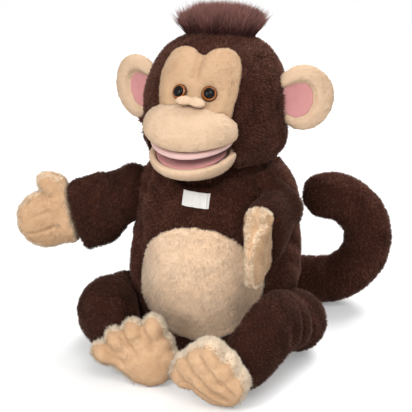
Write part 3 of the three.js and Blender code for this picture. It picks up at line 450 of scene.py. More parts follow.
def short_plush(name: str, tones: Tones, shine: Colour, dulled: float, brightened: float) -> list[Dress]:
    """A short beige plush.

    Args:
        name: the start of its materials' names.
        tones: its colours.
        shine: the tint of its sheen.
        dulled: how much darker its darkest fibres are.
        brightened: how many times lighter its lightest fibres are.

    Returns:
        The dress of its backing and of its pile.
    """
    backing = PlushBacking(name + "_backing", tones.dark, tones.light, shine, 0.15, 1300.0, 0.0004)
    pile = PileTint(name + "_pile", tones, shine, 0.12, dulled, brightened)
    return [Dress(finish.material(), Slot.BEIGE) for finish in (backing, pile)]


class Wardrobe:
    """Every finish of the puppet, made once."""

    def __init__(self) -> None:
        """Makes the materials."""
        backing = PlushBacking("brown_backing", BROWN.dark, BROWN.middle, (0.35, 0.18, 0.13), 0.2)
        self.brown = Dress(backing.material(), Slot.BROWN)
        pile = PileTint("brown_pile", BROWN, (0.45, 0.25, 0.2), 0.15, 0.55, 1.6)
        self.brown_pile = Dress(pile.material(), Slot.BROWN)
        self.beige, self.beige_pile = short_plush("beige", BEIGE, PEACH_SHEEN, 0.14, 1.12)
        # The mask's plush takes the darker beige: painted shade.
        self.mask, self.mask_pile = short_plush("mask", SHADED_FACE, PEACH_SHEEN, 0.14, 1.12)
        self.cream, self.cream_pile = short_plush("cream", CREAM, CREAM_SHEEN, 0.12, 1.1)
        pile = PileTint("fluff", FOOT_FLUFF, FLUFF_SHEEN, 0.15, 0.12, 1.1)
        self.foot_fluff = Dress(pile.material(), Slot.BEIGE)
        pile = PileTint("hand_fluff", HAND_FLUFF, FLUFF_SHEEN, 0.15, 0.12, 1.1)
        self.hand_fluff = Dress(pile.material(), Slot.BEIGE)
        backing = PlushBacking("belly_backing", BELLY.dark, BELLY.middle, CREAM_SHEEN, 0.2)
        self.belly = Dress(backing.material(), Slot.BELLY)
        pile = PileTint("belly_pile", BELLY, CREAM_SHEEN, 0.15, 0.2, 1.12)
        self.belly_pile = Dress(pile.material(), Slot.BELLY)
        self.pink = Dress(Velour("pink_velour", (0.46, 0.19, 0.185), (0.6, 0.29, 0.28)).material(), Slot.PINK)
        self.lip = Dress(Velour("lip_velour", (0.54, 0.35, 0.32), (0.68, 0.47, 0.44)).material(), Slot.PINK)
        backing = PlushBacking("tuft_undercoat", TUFT.dark, TUFT.middle, (0.4, 0.2, 0.18))
        self.tuft = Dress(backing.material(), Slot.TUFT)
        self.tuft_fur = Dress(PileTint("tuft_fur", TUFT, (0.5, 0.3, 0.28), 0.3).material(), Slot.TUFT)
        weave = Weave("inner_cotton", (0.6, 0.55, 0.47), (0.74, 0.69, 0.61), 900.0, 0.0003)
        self.cotton = Dress(weave.material(), Slot.COTTON)
        weave = Weave("label_weave", (0.62, 0.6, 0.57), (0.76, 0.75, 0.72), 1600.0, 0.0002)
        self.label = Dress(weave.material(), Slot.LABEL)
        plastic = Moulded("mouth_board", (0.62, 0.63, 0.64), (0.74, 0.75, 0.76), 0.45)
        self.board = Dress(plastic.material(), Slot.BOARD)
        plastic = Moulded("eye_washer", (0.74, 0.74, 0.72), (0.84, 0.84, 0.82), 0.4)
        self.washer = Dress(plastic.material(), Slot.WASHER)
        plastic = Moulded("eye_pupil", (0.003, 0.0025, 0.0025), (0.006, 0.005, 0.005), 0.02, 0.12)
        self.pupil = Dress(plastic.material(), Slot.PUPIL)


# Working on places


def unit(vectors: Points) -> Points:
    """The vectors at length one."""
    return vectors / np.maximum(np.linalg.norm(vectors, axis=-1, keepdims=True), 1e-12)


def dots(first: Points, second: Points) -> np.ndarray:
    """The dot product of each pair of rows."""
    return np.einsum("ij,ij->i", first, second)


def ease(low: float, high: float, value: np.ndarray) -> np.ndarray:
    """A smooth step from 0 at low to 1 at high."""
    share = np.clip((value - low) / (high - low), 0, 1)
    return share * share * (3 - 2 * share)


def ripple(points: Points, wave: float, seed: int) -> np.ndarray:
    """A smooth pattern over space.

    Args:
        points: places, in millimetres.
        wave: about how long a wave is, in millimetres.
        seed: picks the pattern.

    Returns:
        A value for each point, from about -1 to 1.
    """
    rng = np.random.default_rng(seed)
    total = np.zeros(len(points))
    for _ in range(6):
        way = unit(rng.normal(size=3)) * 2 * math.pi / (wave * rng.uniform(0.6, 1.6))
        total += np.sin(points @ way + rng.uniform(0, 2 * math.pi))
    return total / 3.2


def to_line(points: Points, line: Sequence) -> np.ndarray:
    """How far points are from a line of several stretches.

    Args:
        points: places.
        line: the line's corners, in the same units.

    Returns:
        The distance of each point.
    """
    corners = np.asarray(line, float)
    best = np.full(len(points), 1e9)
    for start, end in zip(corners[:-1], corners[1:]):
        way = end - start
        share = np.clip((points - start) @ way / max(way @ way, 1e-12), 0, 1)
        best = np.minimum(best, np.linalg.norm(points - start - share[:, None] * way, axis=1))
    return best


# Working on objects


def added(operator: Callable, name: str, **settings: object) -> bpy.types.Object:
    """Adds an object and leaves it as the only selected one.

    Args:
        operator: the operator that adds it.
        name: its name.
        settings: the operator's settings.

    Returns:
        The object.
    """
    bpy.ops.object.select_all(action="DESELECT")
    operator(**settings)
    made = bpy.context.object
    made.name = name
    return made


def edit_all(*actions: Callable[[], object]) -> None:
    """Runs operators on the whole mesh of the active object."""
    bpy.ops.object.mode_set(mode="EDIT")
    bpy.ops.mesh.select_all(action="SELECT")
    for action in actions:
        action()
    bpy.ops.object.mode_set(mode="OBJECT")


def paint(piece: bpy.types.Object, dress: Dress) -> None:
    """Gives a piece its one material."""
    piece.data.materials.clear()
    piece.data.materials.append(dress.material)


def seat(piece: bpy.types.Object, dress: Dress, body: str, node: Optional[str] = None) -> None:
    """Dresses a piece, puts it on its body and reports it.

    Args:
        piece: the object.
        dress: its material and slot.
        body: the body that it rides on.
        node: the solid that it stands for, if there is one.
    """
    paint(piece, dress)
    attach(piece, body)
    if node is not None:
        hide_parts(node)
    LOG.info("%s on %s, %d faces", piece.name, body, len(piece.data.polygons))


def keep_solid(node: str, dress: Dress) -> None:
    """Dresses a solid that stays as it is."""
    paint(bpy.data.objects[node], dress)
    LOG.info("%s keeps its solid", node)


def fibre_object(name: str, corners: Points, pattern: np.ndarray, marks: np.ndarray,
                 normals: Points) -> bpy.types.Object:
    """Many fibres of one pattern as a mesh object with a UV map and given normals.

    Args:
        name: the object's name.
        corners: the corners of each fibre, in millimetres.
        pattern: corner numbers of the triangles of one fibre.
        marks: UV places, one for each corner of a fibre's triangles.
        normals: the normal at each corner.

    Returns:
        The object.
    """
    count, size = corners.shape[:2]
    faces = (pattern[None] + size * np.arange(count)[:, None, None]).reshape(-1, 3)
    mesh = bpy.data.meshes.new(name)
    mesh.vertices.add(count * size)
    mesh.vertices.foreach_set("co", (corners * MM).astype(np.float32).ravel())
    mesh.loops.add(faces.size)
    mesh.loops.foreach_set("vertex_index", faces.astype(np.int32).ravel())
    mesh.polygons.add(len(faces))
    mesh.polygons.foreach_set("loop_start", np.arange(0, faces.size, 3, dtype=np.int32))
    mesh.update(calc_edges=True)
    mesh.polygons.foreach_set("use_smooth", np.ones(len(faces), bool))
    mesh.uv_layers.new(name=BAKE_UV).data.foreach_set("uv", marks.astype(np.float32).ravel())
    mesh.normals_split_custom_set_from_vertices(normals.reshape(-1, 3).astype(np.float32))
    made = bpy.data.objects.new(name, mesh)
    bpy.context.scene.collection.objects.link(made)
    return made


class Skin:
    """A mesh object in the making, with its places read and set in millimetres."""

    FILLING = {"quality": 4, "mass": 0.2, "tension_stiffness": 12.0, "compression_stiffness": 12.0,
               "bending_stiffness": 0.6, "use_pressure": True}
    FRAMES = 20

    def __init__(self, name: str, node: str) -> None:
        """Copies a solid into a new object.

        Args:
            name: the new object's name.
            node: the solid that it starts from.
        """
        self.obj = bpy.data.objects.new(name, bpy.data.objects[node].data.copy())
        self.obj.data.name = name
        self.obj.data.materials.clear()
        bpy.context.scene.collection.objects.link(self.obj)
        self.edit(lambda: bpy.ops.mesh.remove_doubles(threshold=1e-5))

    def focus(self) -> None:
        """Makes this the only selected and the active object."""
        bpy.ops.object.select_all(action="DESELECT")
        self.obj.select_set(True)
        bpy.context.view_layer.objects.active = self.obj

    def edit(self, action: Callable[[], object]) -> "Skin":
        """Runs an operator on the whole mesh in edit mode."""
        self.focus()
        edit_all(action)
        return self

    def modify(self, kind: str, **settings: object) -> "Skin":
        """Adds a modifier and applies it.

        Args:
            kind: the modifier's type.
            settings: its settings.

        Returns:
            The skin itself.
        """
        self.focus()
        made = self.obj.modifiers.new(kind.title(), kind)
        for name, value in settings.items():
            setattr(made, name, value)
        bpy.ops.object.modifier_apply(modifier=made.name)
        return self

    @staticmethod
    def _rows(source: bpy.types.bpy_prop_collection, name: str, kind: type) -> np.ndarray:
        """One value of a collection, in rows of three."""
        flat = np.empty(len(source) * 3, kind)
        source.foreach_get(name, flat)
        return flat.reshape(-1, 3)

    @property
    def points(self) -> Points:
        """The vertices' places in millimetres."""
        return self._rows(self.obj.data.vertices, "co", np.float32).astype(float) / MM

    @points.setter
    def points(self, places: Points) -> None:
        """Puts the vertices at places in millimetres."""
        self.obj.data.vertices.foreach_set("co", (places * MM).astype(np.float32).ravel())
        self.obj.data.update()

    @property
    def normals(self) -> Points:
        """The vertices' normals."""
        return self._rows(self.obj.data.vertex_normals, "vector", np.float32).astype(float)

    @property
    def triangles(self) -> np.ndarray:
        """Corner numbers of the triangles."""
        self.obj.data.calc_loop_triangles()
        return self._rows(self.obj.data.loop_triangles, "vertices", np.int32)

    def add_ball(self, middle: Sequence, radii: Sequence) -> "Skin":
        """Joins an oval ball of filling to the mesh.

        Args:
            middle: its middle, in millimetres.
            radii: its half sizes, in millimetres.

        Returns:
            The skin itself.
        """
        ball = added(bpy.ops.mesh.primitive_uv_sphere_add, "ball", segments=24, ring_count=14, radius=1.0)
        edit_all(lambda: bpy.ops.transform.resize(value=tuple(radius * MM for radius in radii)),
                 lambda: bpy.ops.transform.translate(value=tuple(place * MM for place in middle)))
        self.focus()
        ball.select_set(True)
        bpy.ops.object.join()
        return self

    def remesh(self, voxel: float) -> "Skin":
        """Makes the mesh anew from cells of a size in millimetres."""
        return self.modify("REMESH", mode="VOXEL", voxel_size=voxel * MM, use_smooth_shade=True)

    def smooth(self, repeats: int) -> "Skin":
        """Evens out the mesh."""
        return self.modify("SMOOTH", factor=0.5, iterations=repeats)

    def refine(self) -> "Skin":
        """Subdivides the mesh smoothly."""
        return self.modify("SUBSURF", levels=1, render_levels=1)

    def swell(self, height: float) -> "Skin":
        """Moves the whole mesh along its normals by a height in millimetres."""
        self.points = self.points + self.normals * height
        return self

    def fill(self, pressure: float, most: float) -> "Skin":
        """Fills the skin as with fibre, by a short cloth simulation.

        Args:
            pressure: how hard the filling presses.
            most: the furthest that a point may move, in millimetres.

        Returns:
            The skin itself.
        """
        before = self.points
        self.focus()
        made = self.obj.modifiers.new("Filling", "CLOTH")
        for name, value in self.FILLING.items():
            setattr(made.settings, name, value)
        made.settings.uniform_pressure_force = pressure
        made.settings.effector_weights.gravity = 0.0
        made.collision_settings.use_collision = False
        made.point_cache.frame_start = 1
        made.point_cache.frame_end = self.FRAMES
        for moment in range(1, self.FRAMES + 1):
            bpy.context.scene.frame_set(moment)
        bpy.ops.object.modifier_apply(modifier=made.name)
        bpy.context.scene.frame_set(1)
        step = self.points - before
        length = np.linalg.norm(step, axis=1, keepdims=True)
        self.points = before + step * np.minimum(1.0, most / np.maximum(length, 1e-9))
        return self

    def press(self, line: Sequence, width: float, depth: float, facing: Optional[Sequence] = None) -> "Skin":
        """Presses a seam or crease along a line.

        Args:
            line: its corners, in millimetres.
            width: half width of the groove.
            depth: how deep it goes. Below zero it is a ridge.
            facing: only points that face this way are pressed.

        Returns:
            The skin itself.
        """
        places, normals = self.points, self.normals
        share = np.exp(-((to_line(places, line) / width) ** 2))
        if facing is not None:
            share *= ease(-0.1, 0.35, normals @ unit(np.asarray(facing, float)))
        self.points = places - normals * (share * depth)[:, None]
        return self

    def dent(self, spot: Points, width: float, depth: float) -> "Skin":
        """Presses one round dent, or raises a lump where the depth is below zero."""
        return self.press([spot, spot + 0.1], width, depth)

    def plump(self, outwards: Points, height: float, reach: float) -> "Skin":
        """Bulges a sewn panel between its edges.

        Args:
            outwards: the way out of the puppet at each vertex.
            height: how far the middle rises, in millimetres.
            reach: how far from an edge the full height is met.

        Returns:
            The skin itself.
        """
        places = self.points
        facing = dots(self.normals, outwards)
        rim = places[np.abs(facing) < 0.45]
        nearest = np.full(len(places), 1e9)
        for part in np.array_split(np.arange(len(places)), max(1, len(places) // 1500)):
            gaps = np.linalg.norm(places[part, None, :] - rim[None, ::2, :], axis=2)
            nearest[part] = gaps.min(axis=1)
        rise = height * ease(0.0, reach, nearest) * ease(0.2, 0.6, facing)
        self.points = places + outwards * rise[:, None]
        return self

    def settle(self, dress: Dress, body: str, node: str, padding: Optional[float] = None) -> "Skin":
        """Dresses the piece and puts it on its body in place of its solid.

        Args:
            dress: its material and slot.
            body: the body that it rides on.
            node: the solid that it stands for.
            padding: how full it is stuffed, or None where it isn't; not used.

        Returns:
            The skin itself.
        """
        self.focus()
        bpy.ops.object.shade_smooth()
        seat(self.obj, dress, body, node)
        return self


# Pile


@dataclass(frozen=True)
class Pile:
    """Fibres that stand on a plush, as small closed spikes. Lengths are in millimetres."""

    length: float
    width: float
    per_mm2: float
    lean: float = 0.45
    combed: float = 0.3
    sunk: float = 0.4
    patch: float = 16.0
    # How light the fibres are on the whole; on the brown piles this is painted light and painted shade.
    lightness: float = 0.5

    COMB = (0.0, 0.0, -1.0)
    STRAY = 0.6
    LEAST_RISE = 0.35
    LENGTHS = (0.65, 1.2)
    CLUMP = 0.18
    CLUMP_PATCH = 1.4
    FLECK = 3.5
    SHADES = (0.02, 0.98)
    SPIKE = np.array([[0, 1, 3], [1, 2, 3], [2, 0, 3], [0, 2, 1]])

    def grow(self, name: str, skins: Sequence[Skin], seed: int, dress: Dress, body: str,
             keep: Optional[Keep] = None) -> None:
        """Grows the pile on skins and puts it on their body.

        Args:
            name: the new object's name.
            skins: what it grows on.
            seed: fixes the fibres.
            dress: its material and slot.
            body: the body that it rides on.
            keep: tells from places and normals where fibres grow.
        """
        rng = np.random.default_rng(seed)
        roots, outs = self._spots(skins, rng)
        if keep is not None:
            kept = keep(roots, outs)
            roots, outs = roots[kept], outs[kept]
        count = len(roots)
        way = outs + self.lean * rng.normal(size=(count, 3)) * self.STRAY
        way += self.combed * np.asarray(self.COMB)
        for axis in range(3):
            way[:, axis] += self.lean * ripple(roots, self.patch, seed + 10 + axis)
        way = unit(way)
        way = unit(way + outs * np.maximum(0.0, self.LEAST_RISE - dots(way, outs))[:, None])
        clumped = 1 + self.CLUMP * ripple(roots, self.patch * self.CLUMP_PATCH, seed + 20)
        tall = self.length * rng.uniform(*self.LENGTHS, count) * clumped
        light = self.lightness + 0.2 * ripple(roots, self.patch, seed + 30)
        light += 0.4 * ripple(roots, self.FLECK, seed + 31)
        shade = np.clip(light + rng.normal(size=count) * 0.14, *self.SHADES)
        seat(self._mesh(name, roots, outs, way, tall, shade, rng), dress, body)

    def _spots(self, skins: Sequence[Skin], rng: np.random.Generator) -> tuple:
        """Scatters roots evenly over skins.

        Args:
            skins: the skins.
            rng: the source of chance.

        Returns:
            The roots in millimetres and the normals there.
        """
        roots, outs = [], []
        for skin in skins:
            places, normals, faces = skin.points, skin.normals, skin.triangles
            first, second, third = (places[faces[:, column]] for column in range(3))
            areas = np.linalg.norm(np.cross(second - first, third - first), axis=1) / 2
            count = int(areas.sum() * self.per_mm2)
            picked = faces[rng.choice(len(faces), count, p=areas / areas.sum())]
            root = np.sqrt(rng.random(count))[:, None]
            other = rng.random(count)[:, None]
            shares = (1 - root, root * (1 - other), root * other)
            roots.append(sum(share * places[picked[:, column]] for column, share in enumerate(shares)))
            outs.append(unit(sum(share * normals[picked[:, column]] for column, share in enumerate(shares))))
        return np.concatenate(roots), np.concatenate(outs)

    def _mesh(self, name: str, roots: Points, outs: Points, way: Points, tall: np.ndarray, shade: np.ndarray,
              rng: np.random.Generator) -> bpy.types.Object:
        """Builds the spikes.

        Args:
            name: the object's name.
            roots: where each fibre stands.
            outs: the skin's normal there.
            way: the fibre's direction.
            tall: its length.
            shade: its place on the shade axis of the UV map.
            rng: the source of chance.

        Returns:
            The mesh object.
        """
        count = len(roots)
        across = unit(np.cross(way, rng.normal(size=(count, 3))))
        over = np.cross(way, across)
        base = roots - outs * self.sunk
        corners = np.empty((count, 4, 3))
        normals = np.empty((count, 4, 3))
        for turn in range(3):
            angle = turn * 2 * math.pi / 3
            spoke = across * math.cos(angle) + over * math.sin(angle)
            corners[:, turn] = base + spoke * self.width / 2
            normals[:, turn] = unit(outs * 0.8 + spoke * 0.35)
        corners[:, 3] = base + way * (tall + self.sunk)[:, None]
        normals[:, 3] = unit(outs * 0.7 + way * 0.4)
        heights = np.array([0.0, 0.0, 0.0, 1.0])[self.SPIKE].ravel()
        spread = np.array([-1.0, 1.0, 0.0, 0.0])[self.SPIKE].ravel()
        marks = np.empty((count, self.SPIKE.size, 2))
        marks[:, :, 0] = shade[:, None] + 0.004 * spread[None]
        marks[:, :, 1] = 0.02 + 0.96 * heights[None]
        return fibre_object(name, corners, self.SPIKE, marks, normals)


# Two copies of the brown pile: a lighter one, painted light, for the torso, neck, hood and tail, and a darker
# one, painted shade, for the arms and legs.
LIT_BROWN_PILE = Pile(2.6, 0.95, 0.92, lightness=0.72)
SHADED_BROWN_PILE = Pile(2.6, 0.95, 0.92, lightness=0.25)
BEIGE_PILE = Pile(0.9, 0.8, 1.0, lean=0.4, combed=0.2, patch=24.0, sunk=0.3)
BELLY_PILE = Pile(1.8, 0.9, 1.5, lean=0.4, combed=0.15, patch=14.0, lightness=0.55)
HAND_PILE = Pile(1.6, 0.7, 1.3, lean=0.5, combed=0.1, patch=14.0)
FOOT_PILE = Pile(3.6, 0.9, 2.6, lean=0.6, combed=0.0, patch=5.0, lightness=0.7)
RIM_PILE = Pile(2.4, 0.8, 2.4, lean=0.6, combed=0.0, patch=5.0, lightness=0.7)


# Places on the puppet, in millimetres

HEAD = np.array([3.0, -4.0, 207.0])
HEAD_RADII = np.array([56.0, 64.0, 57.0])
MASK = HEAD + np.array([0.0, -6.0, 2.0])
MUZZLE = HEAD + np.array([-5.0, -54.0, -3.5])
MUZZLE_RADII = np.array([39.0, 40.0, 24.5])
COLLAR = np.array([0.0, 2.0, 160.0])
TUFT_ROOT = HEAD + np.array([-1.0, 16.0, 54.0])
EYE_OUT = 11.5
EYE_LIFT = 25.0
EYE_RADIUS = 6.0
SMILE = 7.0
DEEP = 0.84
FLOOR_GAP = 0.8


@dataclass(frozen=True)
class Place:
    """A local frame: an origin and three axes, as rows."""

    origin: np.ndarray
    axes: np.ndarray

    def at(self, *spot: float) -> np.ndarray:
        """The puppet's place of a local one."""
        return self.origin + np.asarray(spot) @ self.axes

    def inside(self, points: Points) -> Points:
        """The local places of the puppet's."""
        return (points - self.origin) @ self.axes.T


def on_head(side: Side, *spot: float) -> np.ndarray:
    """A place from the head's middle, with X counted out to a side."""
    return HEAD + np.array(spot) * np.array([side.value, 1, 1])


def arm_place(side: Side) -> Place:
    """The arm's frame, X from shoulder to hand and Z to the thumb."""
    right = side is Side.RIGHT
    droop, yaw = (math.radians(15), math.radians(7)) if right else (math.radians(6), math.radians(89))
    sign = side.value
    turn = np.array(Matrix.Rotation(-sign * yaw, 3, "Z") @ Matrix.Rotation(sign * droop, 3, "Y"))
    axes = np.array([turn @ (sign, 0, 0), turn @ (0, 1, 0), turn @ (0, 0, 1)])
    return Place(np.array([-72.0, -16.0, 126.0] if right else [56.0, -20.0, 126.0]), axes)


def hip_place(side: Side) -> np.ndarray:
    """The middle of the hip."""
    return np.array([side.value * 73.0, -14.0, 31.0])


def foot_place(side: Side) -> Place:
    """The foot's frame, X to the toes, Y away from the big toe and Z out of the sole."""
    right = side is Side.RIGHT
    toes = unit(np.array([-0.56, 0, 0.83] if right else [-0.73, -0.1, 0.68]))
    look = np.array([0.1, -1, 0] if right else [-0.4, -0.9, -0.2])
    sole = unit(look - toes * (look @ toes))
    outer = np.cross(sole, toes) * side.value
    middle = hip_place(side) + np.array([46, -90, -6] if right else [-37, -118, -6])
    return Place(middle, np.array([toes, outer, sole]))


def above_floor(spots: Points, outs: Points) -> np.ndarray:
    """Where the pile of a limb grows: clear of the floor."""
    return spots[:, 2] > FLOOR_GAP


class TorsoForm:
    """The torso's smooth outer form. The knots are its half width and height."""

    KNOTS = np.array([(53.0, 0.0), (65.0, 28.0), (71.0, 70.0), (65.0, 126.0), (49.0, 158.0)])
    STEPS = 20

    def __init__(self) -> None:
        """Draws the half width as one smooth line over the height."""
        full = np.vstack([self.KNOTS[:1], self.KNOTS, self.KNOTS[-1:]])
        rows = []
        for start in range(len(self.KNOTS) - 1):
            before, first, second, after = full[start:start + 4]
            slope, bend = (second - before) / 2, (after - first) / 2
            cubic = 2 * first - 2 * second + slope + bend
            square = -3 * first + 3 * second - 2 * slope - bend
            for share in np.linspace(0, 1, self.STEPS):
                rows.append(cubic * share ** 3 + square * share ** 2 + slope * share + first)
        self.line = np.array(rows)

    def width(self, height: object) -> object:
        """The half width at a height, or at several."""
        return np.interp(height, self.line[:, 1], self.line[:, 0])

    def reach(self, points: Points) -> np.ndarray:
        """How far out points are, where 1 is on the form.

        Args:
            points: places in millimetres.

        Returns:
            The share for each point.
        """
        width = self.width(points[:, 2])
        depth = width * (DEEP + 0.16 * ease(126, 158, points[:, 2]))
        return np.hypot(points[:, 0] / width, points[:, 1] / depth)

    def at(self, angle: float, height: float) -> Points:
        """The place on the form.

        Args:
            angle: degrees from straight ahead towards the puppet's left.
            height: millimetres above the seat.

        Returns:
            The place.
        """
        width = self.width(height)
        turn = math.radians(angle)
        return np.array([width * math.sin(turn), -DEEP * width * math.cos(turn), height])

    def outwards(self, points: Points) -> Points:
        """The way out of the torso at points."""
        return unit(points * np.array([1.0, 1.0 / DEEP ** 2, 0.0]))

    def rounded(self, skin: Skin) -> Skin:
        """Sets a skin's outer side on the smooth form.

        Args:
            skin: a panel.

        Returns:
            The skin itself.
        """
        places = skin.points
        share = self.reach(places)
        outer = ease(0.955, 0.975, share) * (dots(skin.normals, self.outwards(places)) > 0.3)
        scale = 1 + outer * (1 / np.maximum(share, 1e-6) - 1)
        skin.points = places * np.stack([scale, scale, np.ones(len(places))], axis=1)
        return skin


class HoodForm:
    """The hood's smooth outer form: a dome over a lower half that stays wide."""

    FULLNESS = 0.15
    CROWN = 2.6
    TUCK = 0.16

    @classmethod
    def rounded(cls, skin: Skin) -> Skin:
        """Sets the hood's outer side on the smooth form.

        Args:
            skin: the hood.

        Returns:
            The skin itself.
        """
        local = skin.points - HEAD
        share = local / HEAD_RADII
        level = np.hypot(share[:, 0], share[:, 1])
        low = share[:, 2] < 0
        wide = np.maximum(1 - share[:, 2] ** 2, 1e-3) ** cls.FULLNESS
        square = (level ** cls.CROWN + np.abs(share[:, 2]) ** cls.CROWN) ** (1 / cls.CROWN)
        ball = np.linalg.norm(share, axis=1)
        behind = np.maximum(ease(14.0, 44.0, local[:, 0]), ease(-25.0, 15.0, local[:, 1]))
        reach = np.where(low, level / wide, ball + (square - ball) * behind)
        facing = dots(skin.normals, unit(share * np.array([1, 1, 0.2])))
        outer = ease(0.945, 0.97, np.where(low, reach, ball)) * (facing > 0.3)
        scale = 1 + outer * (1 / np.maximum(reach, 1e-6) - 1)
        drawn = scale * (1 - cls.TUCK * ease(-22.0, -42.0, local[:, 2]))
        skin.points = HEAD + local * np.stack([drawn, drawn, np.where(low, 1.0, scale)], axis=1)
        return skin


# Sub-assemblies


@dataclass
class Torso:
    """The sewn sleeve of brown panels with its belly patch, label, hand opening and what is inside."""

    wardrobe: Wardrobe
    form: TorsoForm = field(default_factory=TorsoForm)
    cell: float = 2.2
    puff: float = 2.4
    puff_reach: float = 16.0
    belly_puff: float = 4.5
    belly_reach: float = 30.0
    fold_width: float = 5.0
    fold_depth: float = 2.2
    shoulder_puff: float = 5.5
    waist: float = 5.0
    label_size: tuple = (22.0, 14.0)
    label_middle: tuple = (0.6, 142.4)
    label_rise: float = 0.86
    label_tilt: float = math.radians(-4)
    label_thickness: float = 0.6
    label_lift: float = 1.5
    label_wave: float = 0.25
    sewn_drop: float = 0.7
    sewn_end: float = 1.6

    PANELS = ("chest_panel", "left_flank_panel", "right_flank_panel", "left_back_panel", "right_back_panel",
              "seat_panel")
    FOLDS = (((66, 106), (88, 90), (108, 66)), ((72, 84), (92, 66), (110, 46)),
             ((-74, 92), (-92, 74), (-112, 62)))

    def build(self) -> None:
        """Makes every piece of the torso."""
        wardrobe = self.wardrobe
        panels = [self.panel(node) for node in self.PANELS]
        belly = self.belly()
        self.label(panels[0])
        LIT_BROWN_PILE.grow("torso_pile", panels, Seed.TORSO, wardrobe.brown_pile, "torso", self.on_brown)
        BELLY_PILE.grow("belly_pile", [belly], Seed.BELLY, wardrobe.belly_pile, "torso", self.outside)
        binding = Skin("opening_binding_plush", "opening_binding").remesh(1.1).smooth(6)
        binding.settle(wardrobe.brown, "torso", "opening_binding", padding=0.3)
        self.lining()
        bag = Skin("seat_bead_bag_cotton", "seat_bead_bag").remesh(4.0).smooth(4)
        bag.points = bag.points + bag.normals * (0.5 * ripple(bag.points, 9, 7))[:, None]
        bag.settle(wardrobe.cotton, "torso", "seat_bead_bag", padding=0.7)

    def panel(self, node: str) -> Skin:
        """One brown panel, puffed between its seams and creased at its side folds.

        Args:
            node: its solid.

        Returns:
            The panel's skin.
        """
        skin = self.form.rounded(Skin(node + "_plush", node).remesh(self.cell))
        if node != "seat_panel":
            skin.plump(self.form.outwards(skin.points), self.puff, self.puff_reach)
        places = skin.points
        out = self.form.outwards(places)
        full = ease(100.0, 140.0, places[:, 2]) * ease(10.0, 40.0, places[:, 0])
        full *= ease(-30.0, 0.0, places[:, 1])
        facing = dots(skin.normals, out) > 0.2
        skin.points = places + out * (self.shoulder_puff * full * facing)[:, None]
        self.drawn_in(skin).smooth(3)
        for fold in self.FOLDS:
            skin.press([self.form.at(*spot) for spot in fold], self.fold_width, self.fold_depth)
        return skin.settle(self.wardrobe.brown, "torso", node, padding=0.4)

    def belly(self) -> Skin:
        """The beige belly patch, rounder than the panels around it."""
        skin = self.form.rounded(Skin("belly_plush", "belly_panel").remesh(self.cell))
        skin.plump(self.form.outwards(skin.points), self.belly_puff, self.belly_reach)
        self.drawn_in(skin).smooth(3)
        return skin.settle(self.wardrobe.belly, "torso", "belly_panel", padding=0.5)

    def drawn_in(self, skin: Skin) -> Skin:
        """Draws the right side in under the arm.

        Args:
            skin: a panel.

        Returns:
            The skin itself.
        """
        places = skin.points
        share = ease(48.0, 75.0, places[:, 2]) * ease(126.0, 102.0, places[:, 2])
        share *= ease(-30.0, -58.0, places[:, 0])
        skin.points = places - self.form.outwards(places) * (self.waist * share)[:, None]
        return skin

    def outside(self, spots: Points, outs: Points) -> np.ndarray:
        """Where the pile of the torso grows: on its outer side."""
        return dots(outs, self.form.outwards(spots)) > 0.15

    def on_brown(self, spots: Points, outs: Points) -> np.ndarray:
        """Where brown pile grows: outside, above the seat and not under the label.

        Args:
            spots: the roots.
            outs: the normals there.

        Returns:
            True where a fibre grows.
        """
        width, height = self.label_size
        under = (np.abs(spots[:, 0] - self.label_middle[0]) < width / 2 + 0.5) & (spots[:, 1] < 0)
        under &= np.abs(spots[:, 2] - self.label_middle[1]) < height * self.label_rise / 2 + 0.5
        return self.outside(spots, outs) & ~under & (spots[:, 2] > 1.0)

    def label(self, chest: Skin) -> None:
        """The bare woven label, laid on the chest and sewn down at both ends.

        Args:
            chest: the panel that it lies on.
        """
        width, height = self.label_size
        made = added(bpy.ops.mesh.primitive_grid_add, "chest_label_cloth", x_subdivisions=44,
                     y_subdivisions=28, size=1.0)
        corners = [tuple(spot) for spot in chest.points]
        tree = BVHTree.FromPolygons(corners, [tuple(face) for face in chest.triangles])
        cosine, sine = math.cos(self.label_tilt), math.sin(self.label_tilt)
        for vertex in made.data.vertices:
            across, upwards = vertex.co.x * width, vertex.co.y * height * self.label_rise
            x = self.label_middle[0] + across * cosine - upwards * sine
            z = self.label_middle[1] + across * sine + upwards * cosine
            met = tree.ray_cast(Vector((x, -200, z)), Vector((0, 1, 0)))[0]
            lift = self.label_lift - self.sewn_drop * (abs(across) > width / 2 - self.sewn_end)
            lift += self.label_wave * math.sin(across * 0.9)
            vertex.co = Vector((x, met.y - lift, z)) * MM
        made.data.update()
        edit_all(lambda: bpy.ops.mesh.normals_make_consistent(inside=False))
        thick = made.modifiers.new("Thickness", "SOLIDIFY")
        thick.thickness = self.label_thickness * MM
        bpy.ops.object.modifier_apply(modifier=thick.name)
        bpy.ops.object.shade_smooth_by_angle(angle=math.radians(50))
        seat(made, self.wardrobe.label, "torso", "chest_label")

    def lining(self) -> None:
        """The cotton sleeve inside, with soft creases round it."""
        skin = Skin("hand_sleeve_cotton", "hand_sleeve")
        skin.edit(lambda: bpy.ops.mesh.subdivide(number_cuts=2)).smooth(8)
        places = skin.points
        crease = np.sin(places[:, 2] * 0.55 + places[:, 1] * 0.4 + 2 * ripple(places, 40, 5))
        skin.points = places + self.form.outwards(places) * (0.35 * crease)[:, None]
        skin.settle(self.wardrobe.cotton, "torso", "hand_sleeve")


